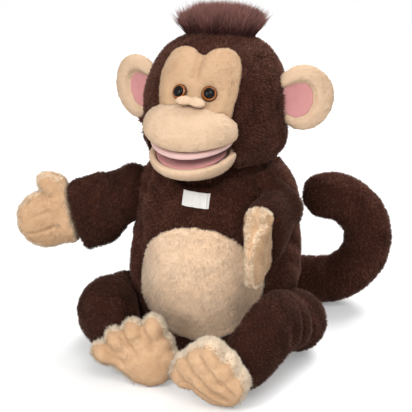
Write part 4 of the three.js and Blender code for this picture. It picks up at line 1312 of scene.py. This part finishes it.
def smile(skin: Skin, top: float, bottom: float = 0.0, wider: float = 3.6) -> Skin:
    """Lifts the corners of the mouth and draws its left end out.

    Args:
        skin: a piece of the mouth.
        top: from 20 mm under this height down, the lift is full.
        bottom: the height at which a chin stays where it is.
        wider: how far the left end goes out.

    Returns:
        The skin itself.
    """
    places = skin.points
    out = (places[:, 0] - MUZZLE[0]) / MUZZLE_RADII[0]
    held = ease(top, top - 20.0, places[:, 2]) * ease(bottom, bottom + 16.0, places[:, 2])
    front = ease(-20.0, -50.0, places[:, 1])
    places[:, 2] += SMILE * np.minimum(out ** 2, 1.0) * held * front
    places[:, 0] += wider * ease(0.1, 0.95, out) * front
    skin.points = places
    return skin


@dataclass
class Head:
    """Hood, collar, face, muzzle, mouth, eyes, ears and tuft."""

    wardrobe: Wardrobe
    cell: float = 2.2
    collar_puff: float = 3.0
    mask_puff: float = 3.6
    brow_puff: float = 4.0
    eye_dent: float = 2.4
    all_lifted: float = 260.0
    chin_foot: float = 166.0
    nose_scale: tuple = (0.92, 1.0, 0.6)
    nose_shift: tuple = (-0.4, 1.0, 2.4)
    tuft_scale: tuple = (0.74, 0.8, 0.7)

    CHEEK = ((42, -40, -8), (50, -30, -14), (56, -10, -15))
    CHEEK_PAD = (15.0, 19.0, 17.0)
    JOWL = (50.0, 4.0, -33.0)
    BROW = (14.0, -52.0, 40.0)
    EAR_OUT = {Side.RIGHT: 66.0, Side.LEFT: 71.0}
    EAR_FOLD = ((-22, 12), (-6, 15), (12, 10))
    IRIS = ((2.0, -12.0), (2.0, 0.4), (6.0, 0.4), (6.15, 1.0), (5.8, 1.9), (5.0, 2.7), (4.35, 3.05),
            (4.3, 2.2), (0.0, 2.2))
    PUPIL = ((0.0, 2.3), (4.2, 2.3), (4.22, 3.1), (3.9, 3.7), (3.1, 4.3), (1.8, 4.7), (0.0, 4.85))

    def build(self) -> None:
        """Makes every piece of the head."""
        wardrobe = self.wardrobe
        self.collar()
        hood = self.hood()
        mask = self.mask()
        muzzle = self.muzzle()
        nose = self.nose()
        chin = smile(Skin("chin_plush", "chin").remesh(1.6).smooth(6), self.all_lifted, self.chin_foot)
        chin.settle(wardrobe.cream, "jaw", "chin", padding=0.7)
        ears = [self.ear(side) for side in Side]
        self.mouth()
        self.inside()
        LIT_BROWN_PILE.grow("hood_pile", [hood], Seed.HOOD, wardrobe.brown_pile, "head", self.on_hood)
        BEIGE_PILE.grow("mask_pile", [mask], Seed.MASK, wardrobe.mask_pile, "head", self.on_face)
        BEIGE_PILE.grow("muzzle_pile", [muzzle, nose], Seed.MUZZLE, wardrobe.cream_pile, "head", self.on_face)
        BEIGE_PILE.grow("ear_pile", ears, Seed.EAR, wardrobe.cream_pile, "head")
        BEIGE_PILE.grow("chin_pile", [chin], Seed.CHIN, wardrobe.cream_pile, "jaw",
                        lambda spots, outs: outs[:, 2] < 0.6)
        for side in Side:
            self.eye(side)
        self.tuft()

    @staticmethod
    def on_hood(spots: Points, outs: Points) -> np.ndarray:
        """Where the hood's pile grows: outside, but not under the face.

        Args:
            spots: the roots.
            outs: the normals there.

        Returns:
            True where a fibre grows.
        """
        local = spots - HEAD
        out = dots(outs, unit(local / HEAD_RADII ** 2)) > 0.2
        lobes = np.hypot(np.abs(local[:, 0]) - 12.5, local[:, 2] - 33.5) < 18
        cheeks = (np.abs(local[:, 0]) < 29) & (local[:, 2] < 35) & (local[:, 2] > -20)
        under = (local[:, 1] < -20) & (lobes | cheeks)
        return out & ~under

    @staticmethod
    def on_face(spots: Points, outs: Points) -> np.ndarray:
        """Where the face's pile grows: in front, but not under the lip or the eyes.

        Args:
            spots: the roots.
            outs: the normals there.

        Returns:
            True where a fibre grows.
        """
        local = spots - HEAD
        eyes = np.hypot(np.abs(local[:, 0]) - EYE_OUT, local[:, 2] - EYE_LIFT) < EYE_RADIUS + 0.5
        lip = (outs[:, 2] < -0.85) & (local[:, 2] < -12)
        return ~(eyes & (local[:, 1] < -45)) & (outs[:, 1] < 0.4) & ~lip

    @staticmethod
    def on_collar(spots: Points, outs: Points) -> np.ndarray:
        """Where the collar's pile grows: outside, but not where the chin comes down."""
        chin = (spots[:, 1] < -20) & (np.abs(spots[:, 0] - MUZZLE[0]) < 32) & (spots[:, 2] > 160)
        return (dots(outs, unit(spots - COLLAR)) > 0.4) & ~chin

    def collar(self) -> None:
        """The soft neck, full up to the hood and the chest, and flat and bare where the chin comes down."""
        skin = Skin("neck_collar_plush", "neck_collar").remesh(2.4).smooth(4)
        places = skin.points
        away = unit(places - COLLAR)
        full = np.maximum(ease(-28.0, 0.0, places[:, 1]), ease(163.0, 158.0, places[:, 2]))
        full *= self.collar_puff + 0.4 * ripple(places, 20, 3)
        skin.points = places + away * ((dots(skin.normals, away) > 0.2) * full)[:, None]
        skin.smooth(2).settle(self.wardrobe.brown, "neck", "neck_collar", padding=0.5)
        LIT_BROWN_PILE.grow("neck_pile", [skin], Seed.NECK, self.wardrobe.brown_pile, "neck", self.on_collar)

    def hood(self) -> Skin:
        """The brown hood with its side seams, cheeks and jowls."""
        skin = Skin("head_hood_plush", "head_hood")
        for side in Side:
            skin.add_ball((MUZZLE[0] + side.value * 45.0, MUZZLE[1] + 15.0, 185.0), self.CHEEK_PAD)
        HoodForm.rounded(skin.remesh(self.cell)).smooth(8)
        for side in Side:
            seam = [on_head(side, 56 * math.cos(a), 6 + 12 * math.cos(a), 57 * math.sin(a))
                    for a in np.linspace(-0.7, 1.4, 14)]
            skin.press(seam, 2.4, 1.3)
            skin.press([on_head(side, *spot) for spot in self.CHEEK], 3.5, 2.0)
            skin.dent(on_head(side, *self.JOWL), 16.0, -5.5)
        return skin.settle(self.wardrobe.brown, "head", "head_hood", padding=0.4)

    def mask(self) -> Skin:
        """The beige face with its two brow lobes and the crease between them."""
        skin = Skin("face_mask_plush", "face_mask").remesh(1.8)
        local = skin.points - MASK
        share = np.linalg.norm(local / HEAD_RADII, axis=1)
        outer = ease(0.965, 0.985, share) * (dots(skin.normals, unit(local)) > 0.3)
        outer *= local[:, 2] > 0
        skin.points = MASK + local * (1 + outer * (1 / share - 1))[:, None]
        skin.plump(unit(skin.points - HEAD), self.mask_puff, 12.0).smooth(5)
        crease = [MASK + np.array([0.0, -3.0 - 64.0 * math.sqrt(1 - (z / 57) ** 2), z])
                  for z in np.linspace(27, 50, 9)]
        skin.press(crease, 5.5, 2.2).press(crease[3:], 3.0, 2.6)
        for side in Side:
            skin.dent(on_head(side, *self.BROW), 11.0, -self.brow_puff)
            skin.dent(self.eye_seat(side)[0], 8.0, self.eye_dent)
        return skin.settle(self.wardrobe.mask, "head", "face_mask", padding=0.5)

    def muzzle(self) -> Skin:
        """The round stuffed muzzle with the faint seam down its middle."""
        skin = Skin("muzzle_plush", "muzzle").swell(-0.6).remesh(3.0).fill(4.0, 2.2)
        skin.smooth(6).refine().smooth(6)
        seam = [MUZZLE + MUZZLE_RADII * np.array([0.0, -math.cos(a), math.sin(a)])
                for a in np.linspace(-0.5, 1.3, 14)]
        skin.press(seam, 1.5, 0.7)
        return smile(skin, MUZZLE[2]).settle(self.wardrobe.cream, "head", "muzzle", padding=0.8)

    def nose(self) -> Skin:
        """The small rolled nose, set a little askew above the muzzle."""
        skin = Skin("nose_plush", "nose").remesh(1.0).smooth(24).swell(1.4)
        middle = skin.points.mean(axis=0)
        local = (skin.points - middle) * np.array(self.nose_scale)
        local[:, 2] -= 0.006 * local[:, 0] ** 2 + 0.07 * local[:, 0]
        skin.points = middle + local + np.array(self.nose_shift)
        return skin.settle(self.wardrobe.cream, "head", "nose", padding=0.8)

    def mouth(self) -> None:
        """The pink lip and roof, the hinge fold and the floor of the mouth."""
        lip = smile(Skin("upper_lip_velour", "upper_lip").remesh(1.3).smooth(5), self.all_lifted, wider=1.0)
        lip.settle(self.wardrobe.lip, "head", "upper_lip", padding=0.5)
        fold = Skin("mouth_hinge_velour", "mouth_hinge_fold").remesh(1.3).smooth(4)
        fold.settle(self.wardrobe.pink, "head", "mouth_hinge_fold", padding=0.4)
        floor = Skin("mouth_floor_velour", "mouth_floor").remesh(0.9).smooth(4)
        smile(floor, self.all_lifted, wider=1.5).settle(self.wardrobe.pink, "jaw", "mouth_floor", padding=0.4)

    def inside(self) -> None:
        """The crown padding and the stiff pieces behind the mouth and the eyes."""
        skin = Skin("crown_padding_cotton", "crown_padding").remesh(4.0).smooth(3)
        skin.settle(self.wardrobe.cotton, "head", "crown_padding", padding=0.6)
        for node in ("upper_mouth_board", "lower_mouth_board"):
            keep_solid(node, self.wardrobe.board)
        for node in ("right_eye_washer", "left_eye_washer"):
            keep_solid(node, self.wardrobe.washer)

    def ear(self, side: Side) -> Skin:
        """An ear with its rim rolled forwards, and its pink lining.

        Args:
            side: which ear.

        Returns:
            The ear's skin.
        """
        node = side.word + "_ear"
        skin = Skin(node + "_plush", node).remesh(1.6).smooth(8)
        out = self.EAR_OUT[side]
        rim = skin.points - HEAD - np.array([side.value * out, 8.0, 9.0])
        skin.points = skin.points + np.outer(ease(6.0, 26.0, rim[:, 2]) * 5.0, [0.0, -1.0, 0.0])
        fold = [on_head(side, out + x, -4.0, 9.0 + z) for x, z in self.EAR_FOLD]
        skin.press(fold, 4.5, -2.4).press([spot - np.array([0, 0, 6.0]) for spot in fold], 2.5, 1.6)
        lining = Skin(node + "_velour", node + "_lining")
        lining.edit(lambda: bpy.ops.mesh.subdivide(number_cuts=2)).smooth(6)
        lining.settle(self.wardrobe.pink, "head", node + "_lining", padding=0.2)
        return skin.settle(self.wardrobe.cream, "head", node, padding=0.6)

    @staticmethod
    def eye_seat(side: Side) -> tuple:
        """Where an eye sits on the face.

        Args:
            side: which eye.

        Returns:
            The spot and the way that the eye looks.
        """
        off = np.array([side.value * EYE_OUT, 0.0, EYE_LIFT - (MASK - HEAD)[2]])
        off[1] = -HEAD_RADII[1] * math.sqrt(1 - (off[0] / HEAD_RADII[0]) ** 2 - (off[2] / HEAD_RADII[2]) ** 2)
        return MASK + off, unit(off / HEAD_RADII ** 2)

    def eye(self, side: Side) -> None:
        """A polished amber dome on its shank, with a black pupil."""
        word = side.word
        spot, look = self.eye_seat(side)
        amber = AmberEye(word + "_amber", Vector(spot) * MM, Vector(look), EYE_RADIUS * MM).material()
        iris = self.turned(word + "_iris_dome", self.IRIS, spot, look)
        seat(iris, Dress(amber, Slot.IRIS), "head", word + "_eye_iris")
        pupil = self.turned(word + "_pupil_dome", self.PUPIL, spot, look)
        seat(pupil, self.wardrobe.pupil, "head", word + "_eye_pupil")

    @staticmethod
    def turned(name: str, outline: Sequence, spot: Points, look: Points) -> bpy.types.Object:
        """A round piece spun from an outline about the way that it looks.

        Args:
            name: the piece's name.
            outline: radius and height of each corner, in millimetres.
            spot: the foot of its axis.
            look: the axis.

        Returns:
            The object.
        """
        made = added(bpy.ops.mesh.primitive_plane_add, name, size=1.0)
        mesh = made.data
        mesh.clear_geometry()
        edges = [(corner, corner + 1) for corner in range(len(outline) - 1)]
        mesh.from_pydata([(radius * MM, 0, height * MM) for radius, height in outline], edges, [])
        edit_all(lambda: bpy.ops.mesh.spin(steps=40, angle=2 * math.pi, center=(0, 0, 0), axis=(0, 0, 1)),
                 lambda: bpy.ops.mesh.remove_doubles(threshold=1e-6),
                 lambda: bpy.ops.mesh.normals_make_consistent(inside=False))
        turn = Vector((0, 0, 1)).rotation_difference(Vector(look)).to_matrix().to_4x4()
        mesh.transform(Matrix.Translation(Vector(spot) * MM) @ turn)
        bpy.ops.object.shade_smooth_by_angle(angle=math.radians(40))
        return made

    def tuft(self) -> None:
        """The clipped tuft on the crown: an undercoat and long fibres."""
        skin = Skin("hair_tuft_undercoat", "hair_tuft").remesh(2.4).smooth(4)
        skin.points = TUFT_ROOT + (skin.points - TUFT_ROOT) * np.array(self.tuft_scale)
        skin.settle(self.wardrobe.tuft, "head", "hair_tuft", padding=0.5)
        seat(Fur().mesh("hair_tuft_fur"), self.wardrobe.tuft_fur, "head")


@dataclass(frozen=True)
class Fur:
    """The tuft's soft fibres, which stand up from the crown and end in a level crop."""

    count: int = 17000
    seed: int = Seed.FUR
    spread: tuple = (24.5, 18.0, 0.0)
    crop: float = 25.0
    bow: float = 1.8

    LEVELS = ((0.0, 0.4), (0.55, 0.34), (1.0, 0.0))
    THIRD = 2.0944

    def mesh(self, name: str) -> bpy.types.Object:
        """Makes the fibres as one object.

        Args:
            name: its name.

        Returns:
            The object.
        """
        count = self.count
        rng = np.random.default_rng(self.seed)
        angle = rng.uniform(0, 2 * math.pi, count)
        out = rng.random(count) ** 0.42
        round_way = np.stack([np.cos(angle), np.sin(angle), np.zeros(count)], axis=1)
        roots = TUFT_ROOT + round_way * np.array(self.spread) * out[:, None]
        local = (roots - HEAD) / HEAD_RADII
        dome = np.sqrt(np.maximum(0.0, 1 - local[:, 0] ** 2 - local[:, 1] ** 2))
        roots[:, 2] = HEAD[2] + HEAD_RADII[2] * dome - 1.0
        fan = round_way * (0.3 * out ** 2)[:, None] + np.array([0.1, 0.0, 1.0])
        clump = np.stack([ripple(roots, 7, 50 + axis) for axis in range(3)], axis=1) * 0.2
        way = unit(fan + clump + np.clip(rng.normal(size=(count, 3)), -1.6, 1.6) * 0.15)
        top = TUFT_ROOT[2] + self.crop - 8.5 * out ** 4 + 1.5 * ripple(roots, 10, 70)
        top += rng.normal(size=count) * 1.8
        tall = np.clip((top - roots[:, 2]) / np.maximum(way[:, 2], 0.55), 6, 30)
        tall *= rng.uniform(0.8, 1.0, count)
        bow = (round_way * out[:, None] * 0.6 + rng.normal(size=(count, 3)) * 0.8) * self.bow
        shade = np.clip(0.45 + 0.25 * ripple(roots, 7, 60) + rng.normal(size=count) * 0.18, 0.02, 0.98)
        across = unit(np.cross(way, rng.normal(size=(count, 3))))
        over = np.cross(way, across)
        corners, normals, marks = (np.empty((count, 7, size)) for size in (3, 3, 2))
        for level, (share, radius) in enumerate(self.LEVELS):
            spot = roots + way * (tall * share)[:, None] + bow * share ** 2
            for turn in range(3 if level < 2 else 1):
                spoke = across * math.cos(turn * self.THIRD) + over * math.sin(turn * self.THIRD)
                corners[:, 3 * level + turn] = spot + spoke * radius
                normals[:, 3 * level + turn] = unit(spoke * 0.5 + fan * 0.8)
                marks[:, 3 * level + turn] = np.stack([shade, np.full(count, 0.02 + 0.96 * share)], axis=1)
        pattern = self.pattern()
        loops = marks[:, pattern.ravel()]
        loops[:, :, 0] += 0.003 * (np.arange(pattern.size) % 3 - 1)[None]
        return fibre_object(name, corners, pattern, loops, normals)

    @staticmethod
    def pattern() -> np.ndarray:
        """The triangles of one fibre: its foot, its two storeys and its tip."""
        rows = [[0, 2, 1]]
        for turn in range(3):
            after = (turn + 1) % 3
            rows += [[turn, after, after + 3], [turn, after + 3, turn + 3], [turn + 3, after + 3, 6]]
        return np.array(rows)


@dataclass
class Arm:
    """A brown sleeve and its beige mitten."""

    wardrobe: Wardrobe
    side: Side
    torso: TorsoForm = field(default_factory=TorsoForm)
    shoulder_radii: tuple = (18.0, 20.0, 20.0)
    underside: float = 7.5
    armpit: float = 3.0
    bare: float = 1.06
    finger_gaps: tuple = ((2.0, 64.0), (-13.0, 60.0))
    tip_gaps: tuple = (1.0, -14.0)

    def build(self) -> None:
        """Makes the arm."""
        place = arm_place(self.side)
        word, sign = self.side.word, self.side.value
        body = word + "_arm"
        sleeve = self.sleeve(place, body)
        # The sleeve's pile is the darker copy of the brown pile: painted shade.
        SHADED_BROWN_PILE.grow(body + "_pile", [sleeve], Seed.ARM + sign, self.wardrobe.brown_pile, body,
                       lambda spots, outs: self.torso.reach(spots) > self.bare)
        hand = self.hand(place, body)
        HAND_PILE.grow(word + "_hand_pile", [hand], Seed.HAND + sign, self.wardrobe.beige_pile, body)
        RIM_PILE.grow(word + "_hand_fluff", [hand], Seed.HAND_FLUFF + sign, self.wardrobe.hand_fluff, body,
                      lambda spots, outs: np.abs(np.abs(outs @ place.axes[1]) - 0.5) < 0.3)

    def sleeve(self, place: Place, body: str) -> Skin:
        """The stuffed sleeve. The right one hangs full, and the left one is raised over the flank.

        Args:
            place: the arm's frame.
            body: the arm's body and node.

        Returns:
            The sleeve's skin.
        """
        skin = Skin(body + "_plush", body)
        skin.add_ball(place.origin + np.array([-7.0 * self.side.value, 4.0, 8.0]), self.shoulder_radii)
        skin.swell(-1.0).remesh(3.6).fill(4.0, 4.0).refine().smooth(4)
        local = place.inside(skin.points)
        along, height = local[:, 0], local[:, 2]
        if self.side is Side.RIGHT:
            local[:, 2] -= self.underside * ease(-10.0, 20.0, along) * ease(2.0, -14.0, height)
        else:
            local[:, 2] += self.armpit * ease(55.0, 25.0, along) * ease(2.0, -12.0, height)
        skin.points = place.origin + local @ place.axes
        for face in (-1, 1):
            edge = [place.at(x, face * 11, 19 + 3 * math.sin(x / 20)) for x in np.linspace(4, 43, 8)]
            skin.press(edge, 2.0, 1.2)
        return skin.settle(self.wardrobe.brown, body, body, padding=0.7)

    def hand(self, place: Place, body: str) -> Skin:
        """The mitten with its stitched fingers and the crease of its palm.

        Args:
            place: the arm's frame.
            body: the arm's body.

        Returns:
            The hand's skin.
        """
        node = self.side.word + "_hand"
        left = self.side is Side.LEFT
        skin = Skin(node + "_plush", node).swell(-0.8)
        if left:
            skin.add_ball(place.at(64, 0, 10), (11.0, 17.0, 15.0))
        skin.remesh(2.4).fill(4.0, 3.0).refine().smooth(4)
        if left:
            local = place.inside(skin.points)
            local[:, 1] *= 0.6 + 0.5 * np.minimum(np.abs(local[:, 2] + 5.0) / 28.0, 1.0) ** 2
            local[:, 2] -= 5.0 * ease(8.0, 30.0, local[:, 2])
            skin.points = place.origin + local @ place.axes
        for face in (-1, 1):
            facing = place.axes[1] * face
            for height, inner in self.finger_gaps:
                stitch = [place.at(x, face * 12 * math.sqrt(1 - ((x - 70) / 30) ** 2),
                                   height - 0.1 * (x - 80)) for x in np.linspace(inner, 95, 8)]
                skin.press(stitch, 1.9, 2.6, facing)
            palm = [place.at(62 + 0.006 * (z + 4) ** 2, face * 12, z) for z in np.linspace(-22, 10, 8)]
            skin.press(palm, 2.6, 1.0, facing)
        for height in self.tip_gaps:
            skin.press([place.at(97 - 0.05 * y * y, y, height) for y in np.linspace(-10, 10, 7)], 3.0, 2.6)
        seam = [place.at(70 + 28 * math.cos(a), 0, -5 + 26 * math.sin(a)) for a in np.linspace(-2.2, 1.0, 24)]
        return skin.press(seam, 2.0, 1.4).settle(self.wardrobe.beige, body, node, padding=0.7)


@dataclass
class Leg:
    """A brown leg and its beige foot."""

    wardrobe: Wardrobe
    side: Side

    FOLDS = ((0.35, 27.0, 3.2), (0.72, 29.0, 3.6), (1.05, 29.0, 1.8))
    KNEE = {Side.RIGHT: (2.0, -46.0, 12.0), Side.LEFT: (-14.0, -55.0, 19.0)}
    PADDING = {Side.RIGHT: ((12, 12.4), (16, -3.1), (12, -18.6), (3, 17), (-9, 14), (5, -16)),
               Side.LEFT: ((19, -20), (19, -5), (19, 10), (6, -20), (-8, -14))}
    PAD_RADII = {Side.RIGHT: (9.5, 9.5, 9.5), Side.LEFT: (13.0, 11.0, 13.0)}
    TOE_GAPS = (12.4, -3.1, -18.6)
    TOE_PADS = ((18, 20), (24, 5), (25, -11), (21, -26))

    def build(self) -> None:
        """Makes the leg."""
        word, sign = self.side.word, self.side.value
        body = word + "_leg"
        leg = Skin(body + "_plush", body).swell(-1.0).remesh(4.0).fill(4.0, 5.0).refine().smooth(4)
        for share, radius, depth in self.FOLDS:
            leg.press(self.ring(share, radius), 4.0, depth)
        leg.settle(self.wardrobe.brown, body, body, padding=0.7)
        # The leg's pile is the darker copy of the brown pile: painted shade.
        SHADED_BROWN_PILE.grow(body + "_pile", [leg], Seed.LEG + sign, self.wardrobe.brown_pile, body, above_floor)
        place = foot_place(self.side)
        foot = self.foot(place, body)
        BEIGE_PILE.grow(word + "_foot_pile", [foot], Seed.FOOT + sign, self.wardrobe.beige_pile, body,
                        lambda spots, outs: (outs @ place.axes[2] > -0.2) & (spots[:, 2] > 0.6))
        FOOT_PILE.grow(word + "_foot_fluff", [foot], Seed.FOOT_FLUFF + sign, self.wardrobe.foot_fluff, body,
                       lambda spots, outs: self.behind(place, spots, outs))

    def ring(self, share: float, radius: float) -> list:
        """A line over the thigh, like the folds at the knee.

        Args:
            share: where it crosses the thigh, from the hip at 0 to the knee at 1.
            radius: its distance from the thigh's middle.

        Returns:
            The line's places.
        """
        knee = np.array(self.KNEE[self.side])
        along = unit(knee)
        above = unit(np.array([0.0, 0.0, 1.0]) - along * along[2])
        beside = np.cross(along, above)
        return [hip_place(self.side) + knee * share + radius * (math.cos(a) * above + math.sin(a) * beside)
                for a in np.linspace(-1.9, 1.9, 26)]

    @staticmethod
    def behind(place: Place, spots: Points, outs: Points) -> np.ndarray:
        """Where the longer fluff grows: over the back of the foot.

        Args:
            place: the foot's frame.
            spots: the roots.
            outs: the normals there.

        Returns:
            True where a fibre grows.
        """
        local = place.inside(spots)
        return (outs @ place.axes[2] < 0.35) & (local[:, 2] < 7) & (local[:, 0] > -24) & (spots[:, 2] > 4)

    def foot(self, place: Place, body: str) -> Skin:
        """The foot with its padded toes and the folds of its sole.

        Args:
            place: the foot's frame.
            body: the leg's body.

        Returns:
            The foot's skin.
        """
        node = self.side.word + "_foot"
        left = self.side is Side.LEFT
        sole = place.axes[2]
        skin = Skin(node + "_plush", node).swell(-0.6)
        for along, across in self.PADDING[self.side]:
            skin.add_ball(place.at(along, across, 0), self.PAD_RADII[self.side])
        skin.remesh(2.0).fill(3.0, 2.5).smooth(8 if left else 3).refine()
        for gap in self.TOE_GAPS:
            fold = [place.at(x, gap * (0.86 + 0.009 * x) + 0.5 * math.sin(x / 6), 11)
                    for x in np.linspace(-22.0 if left else 6.0, 34, 9)]
            skin.press(fold, 3.2 if left else 2.4, 3.4, sole + 0.4 * place.axes[0])
        if not left:
            ball = [place.at(8 - 0.012 * y * y, y, 13) for y in np.linspace(-20, 18, 9)]
            skin.press(ball, 2.6, 1.6, sole)
            for along, across in self.TOE_PADS:
                skin.press([place.at(along, across, 10), place.at(along + 1, across, 10)], 6.0, -2.2)
        return skin.settle(self.wardrobe.beige, body, node, padding=0.7)


@dataclass
class Tail:
    """The long stuffed tail, wrinkled inside its curl."""

    wardrobe: Wardrobe
    curl: tuple = (74.0, 96.0, 64.0)
    wrinkles: int = 11
    wrinkle_height: float = 0.45

    def build(self) -> None:
        """Makes the tail."""
        skin = Skin("tail_plush", "tail").swell(-1.0).remesh(4.0).fill(4.0, 4.0).refine().smooth(4)
        places = skin.points
        away = places - np.array(self.curl)
        turn = np.arctan2(away[:, 2], away[:, 0])
        inner = ease(40.0, 22.0, np.hypot(away[:, 0], away[:, 2])) * ease(58.0, 70.0, places[:, 0])
        rise = inner * self.wrinkle_height * np.sin(turn * self.wrinkles)
        skin.points = places + skin.normals * rise[:, None]
        skin.settle(self.wardrobe.brown, "tail", "tail", padding=0.8)
        LIT_BROWN_PILE.grow("tail_pile", [skin], Seed.TAIL, self.wardrobe.brown_pile, "tail", above_floor)


@dataclass
class Studio:
    """Camera, soft lamps, pale world and white floor, in metres and watts."""

    aim: tuple = (-0.006, 0.0, 0.118)
    eye: tuple = (0.2877, -1.096, 0.5087)
    lens: float = 126.3
    sensor: float = 36.0
    world_level: float = 0.45
    floor_size: float = 2.6
    floor_glow: float = 0.24
    floor_tone: float = 0.85

    LAMPS = (("key_lamp", (0.7, -1.3, 1.45), 0.9, 15.0), ("fill_lamp", (-0.5, -1.7, 0.85), 1.2, 15.0),
             ("glint_lamp", (-0.35, -1.6, 1.2), 0.14, 6.0), ("top_lamp", (0.5, 0.75, 1.6), 1.0, 26.0))

    def build(self) -> None:
        """Sets up the studio."""
        bpy.context.scene.view_settings.view_transform = "Standard"
        self.camera()
        self.world()
        for name, place, size, watts in self.LAMPS:
            made = added(bpy.ops.object.light_add, name, type="AREA", location=place)
            made.data.size = size
            made.data.energy = watts
            self.turn(made, place)
        self.floor()

    def turn(self, made: bpy.types.Object, place: Sequence) -> None:
        """Turns what stands at a place to look at the puppet."""
        made.rotation_euler = (Vector(self.aim) - Vector(place)).to_track_quat("-Z", "Y").to_euler()

    def camera(self) -> None:
        """The camera at the photograph's angle."""
        made = added(bpy.ops.object.camera_add, "camera", location=self.eye)
        self.turn(made, self.eye)
        made.data.lens = self.lens
        made.data.sensor_width = self.sensor
        bpy.context.scene.camera = made

    def world(self) -> None:
        """A pale even surround that is white to the camera and in reflections."""
        sheet = NodeSheet(bpy.data.worlds.new("studio"))
        bpy.context.scene.world = sheet.owner
        level = sheet.seen() * (1.0 - self.world_level) + self.world_level
        shade = sheet.node("ShaderNodeBackground", inputs={"Color": (1, 1, 1, 1), "Strength": level})
        sheet.node("ShaderNodeOutputWorld", inputs={"Surface": shade})

    def floor(self) -> None:
        """A white floor that keeps the soft shadow."""
        made = added(bpy.ops.mesh.primitive_plane_add, "floor", size=self.floor_size)
        sheet = new_sheet("floor_paper")
        tone = (self.floor_tone, self.floor_tone, self.floor_tone, 1)
        diffuse = sheet.node("ShaderNodeBsdfDiffuse", inputs={"Color": tone})
        strength = sheet.seen() * self.floor_glow
        glow = sheet.node("ShaderNodeEmission", inputs={"Color": (1, 1, 1, 1), "Strength": strength})
        both = sheet.node("ShaderNodeAddShader", inputs={0: diffuse, 1: glow})
        sheet.node("ShaderNodeOutputMaterial", inputs={"Surface": both})
        made.data.materials.append(sheet.owner)


def main() -> None:
    """Builds the studio and every sub-assembly in order."""
    logging.basicConfig(level=logging.INFO, format="%(message)s")
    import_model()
    Studio().build()
    wardrobe = Wardrobe()
    Torso(wardrobe).build()
    Head(wardrobe).build()
    for side in Side:
        Arm(wardrobe, side).build()
        Leg(wardrobe, side).build()
    Tail(wardrobe).build()


if __name__ == "__main__":
    main()
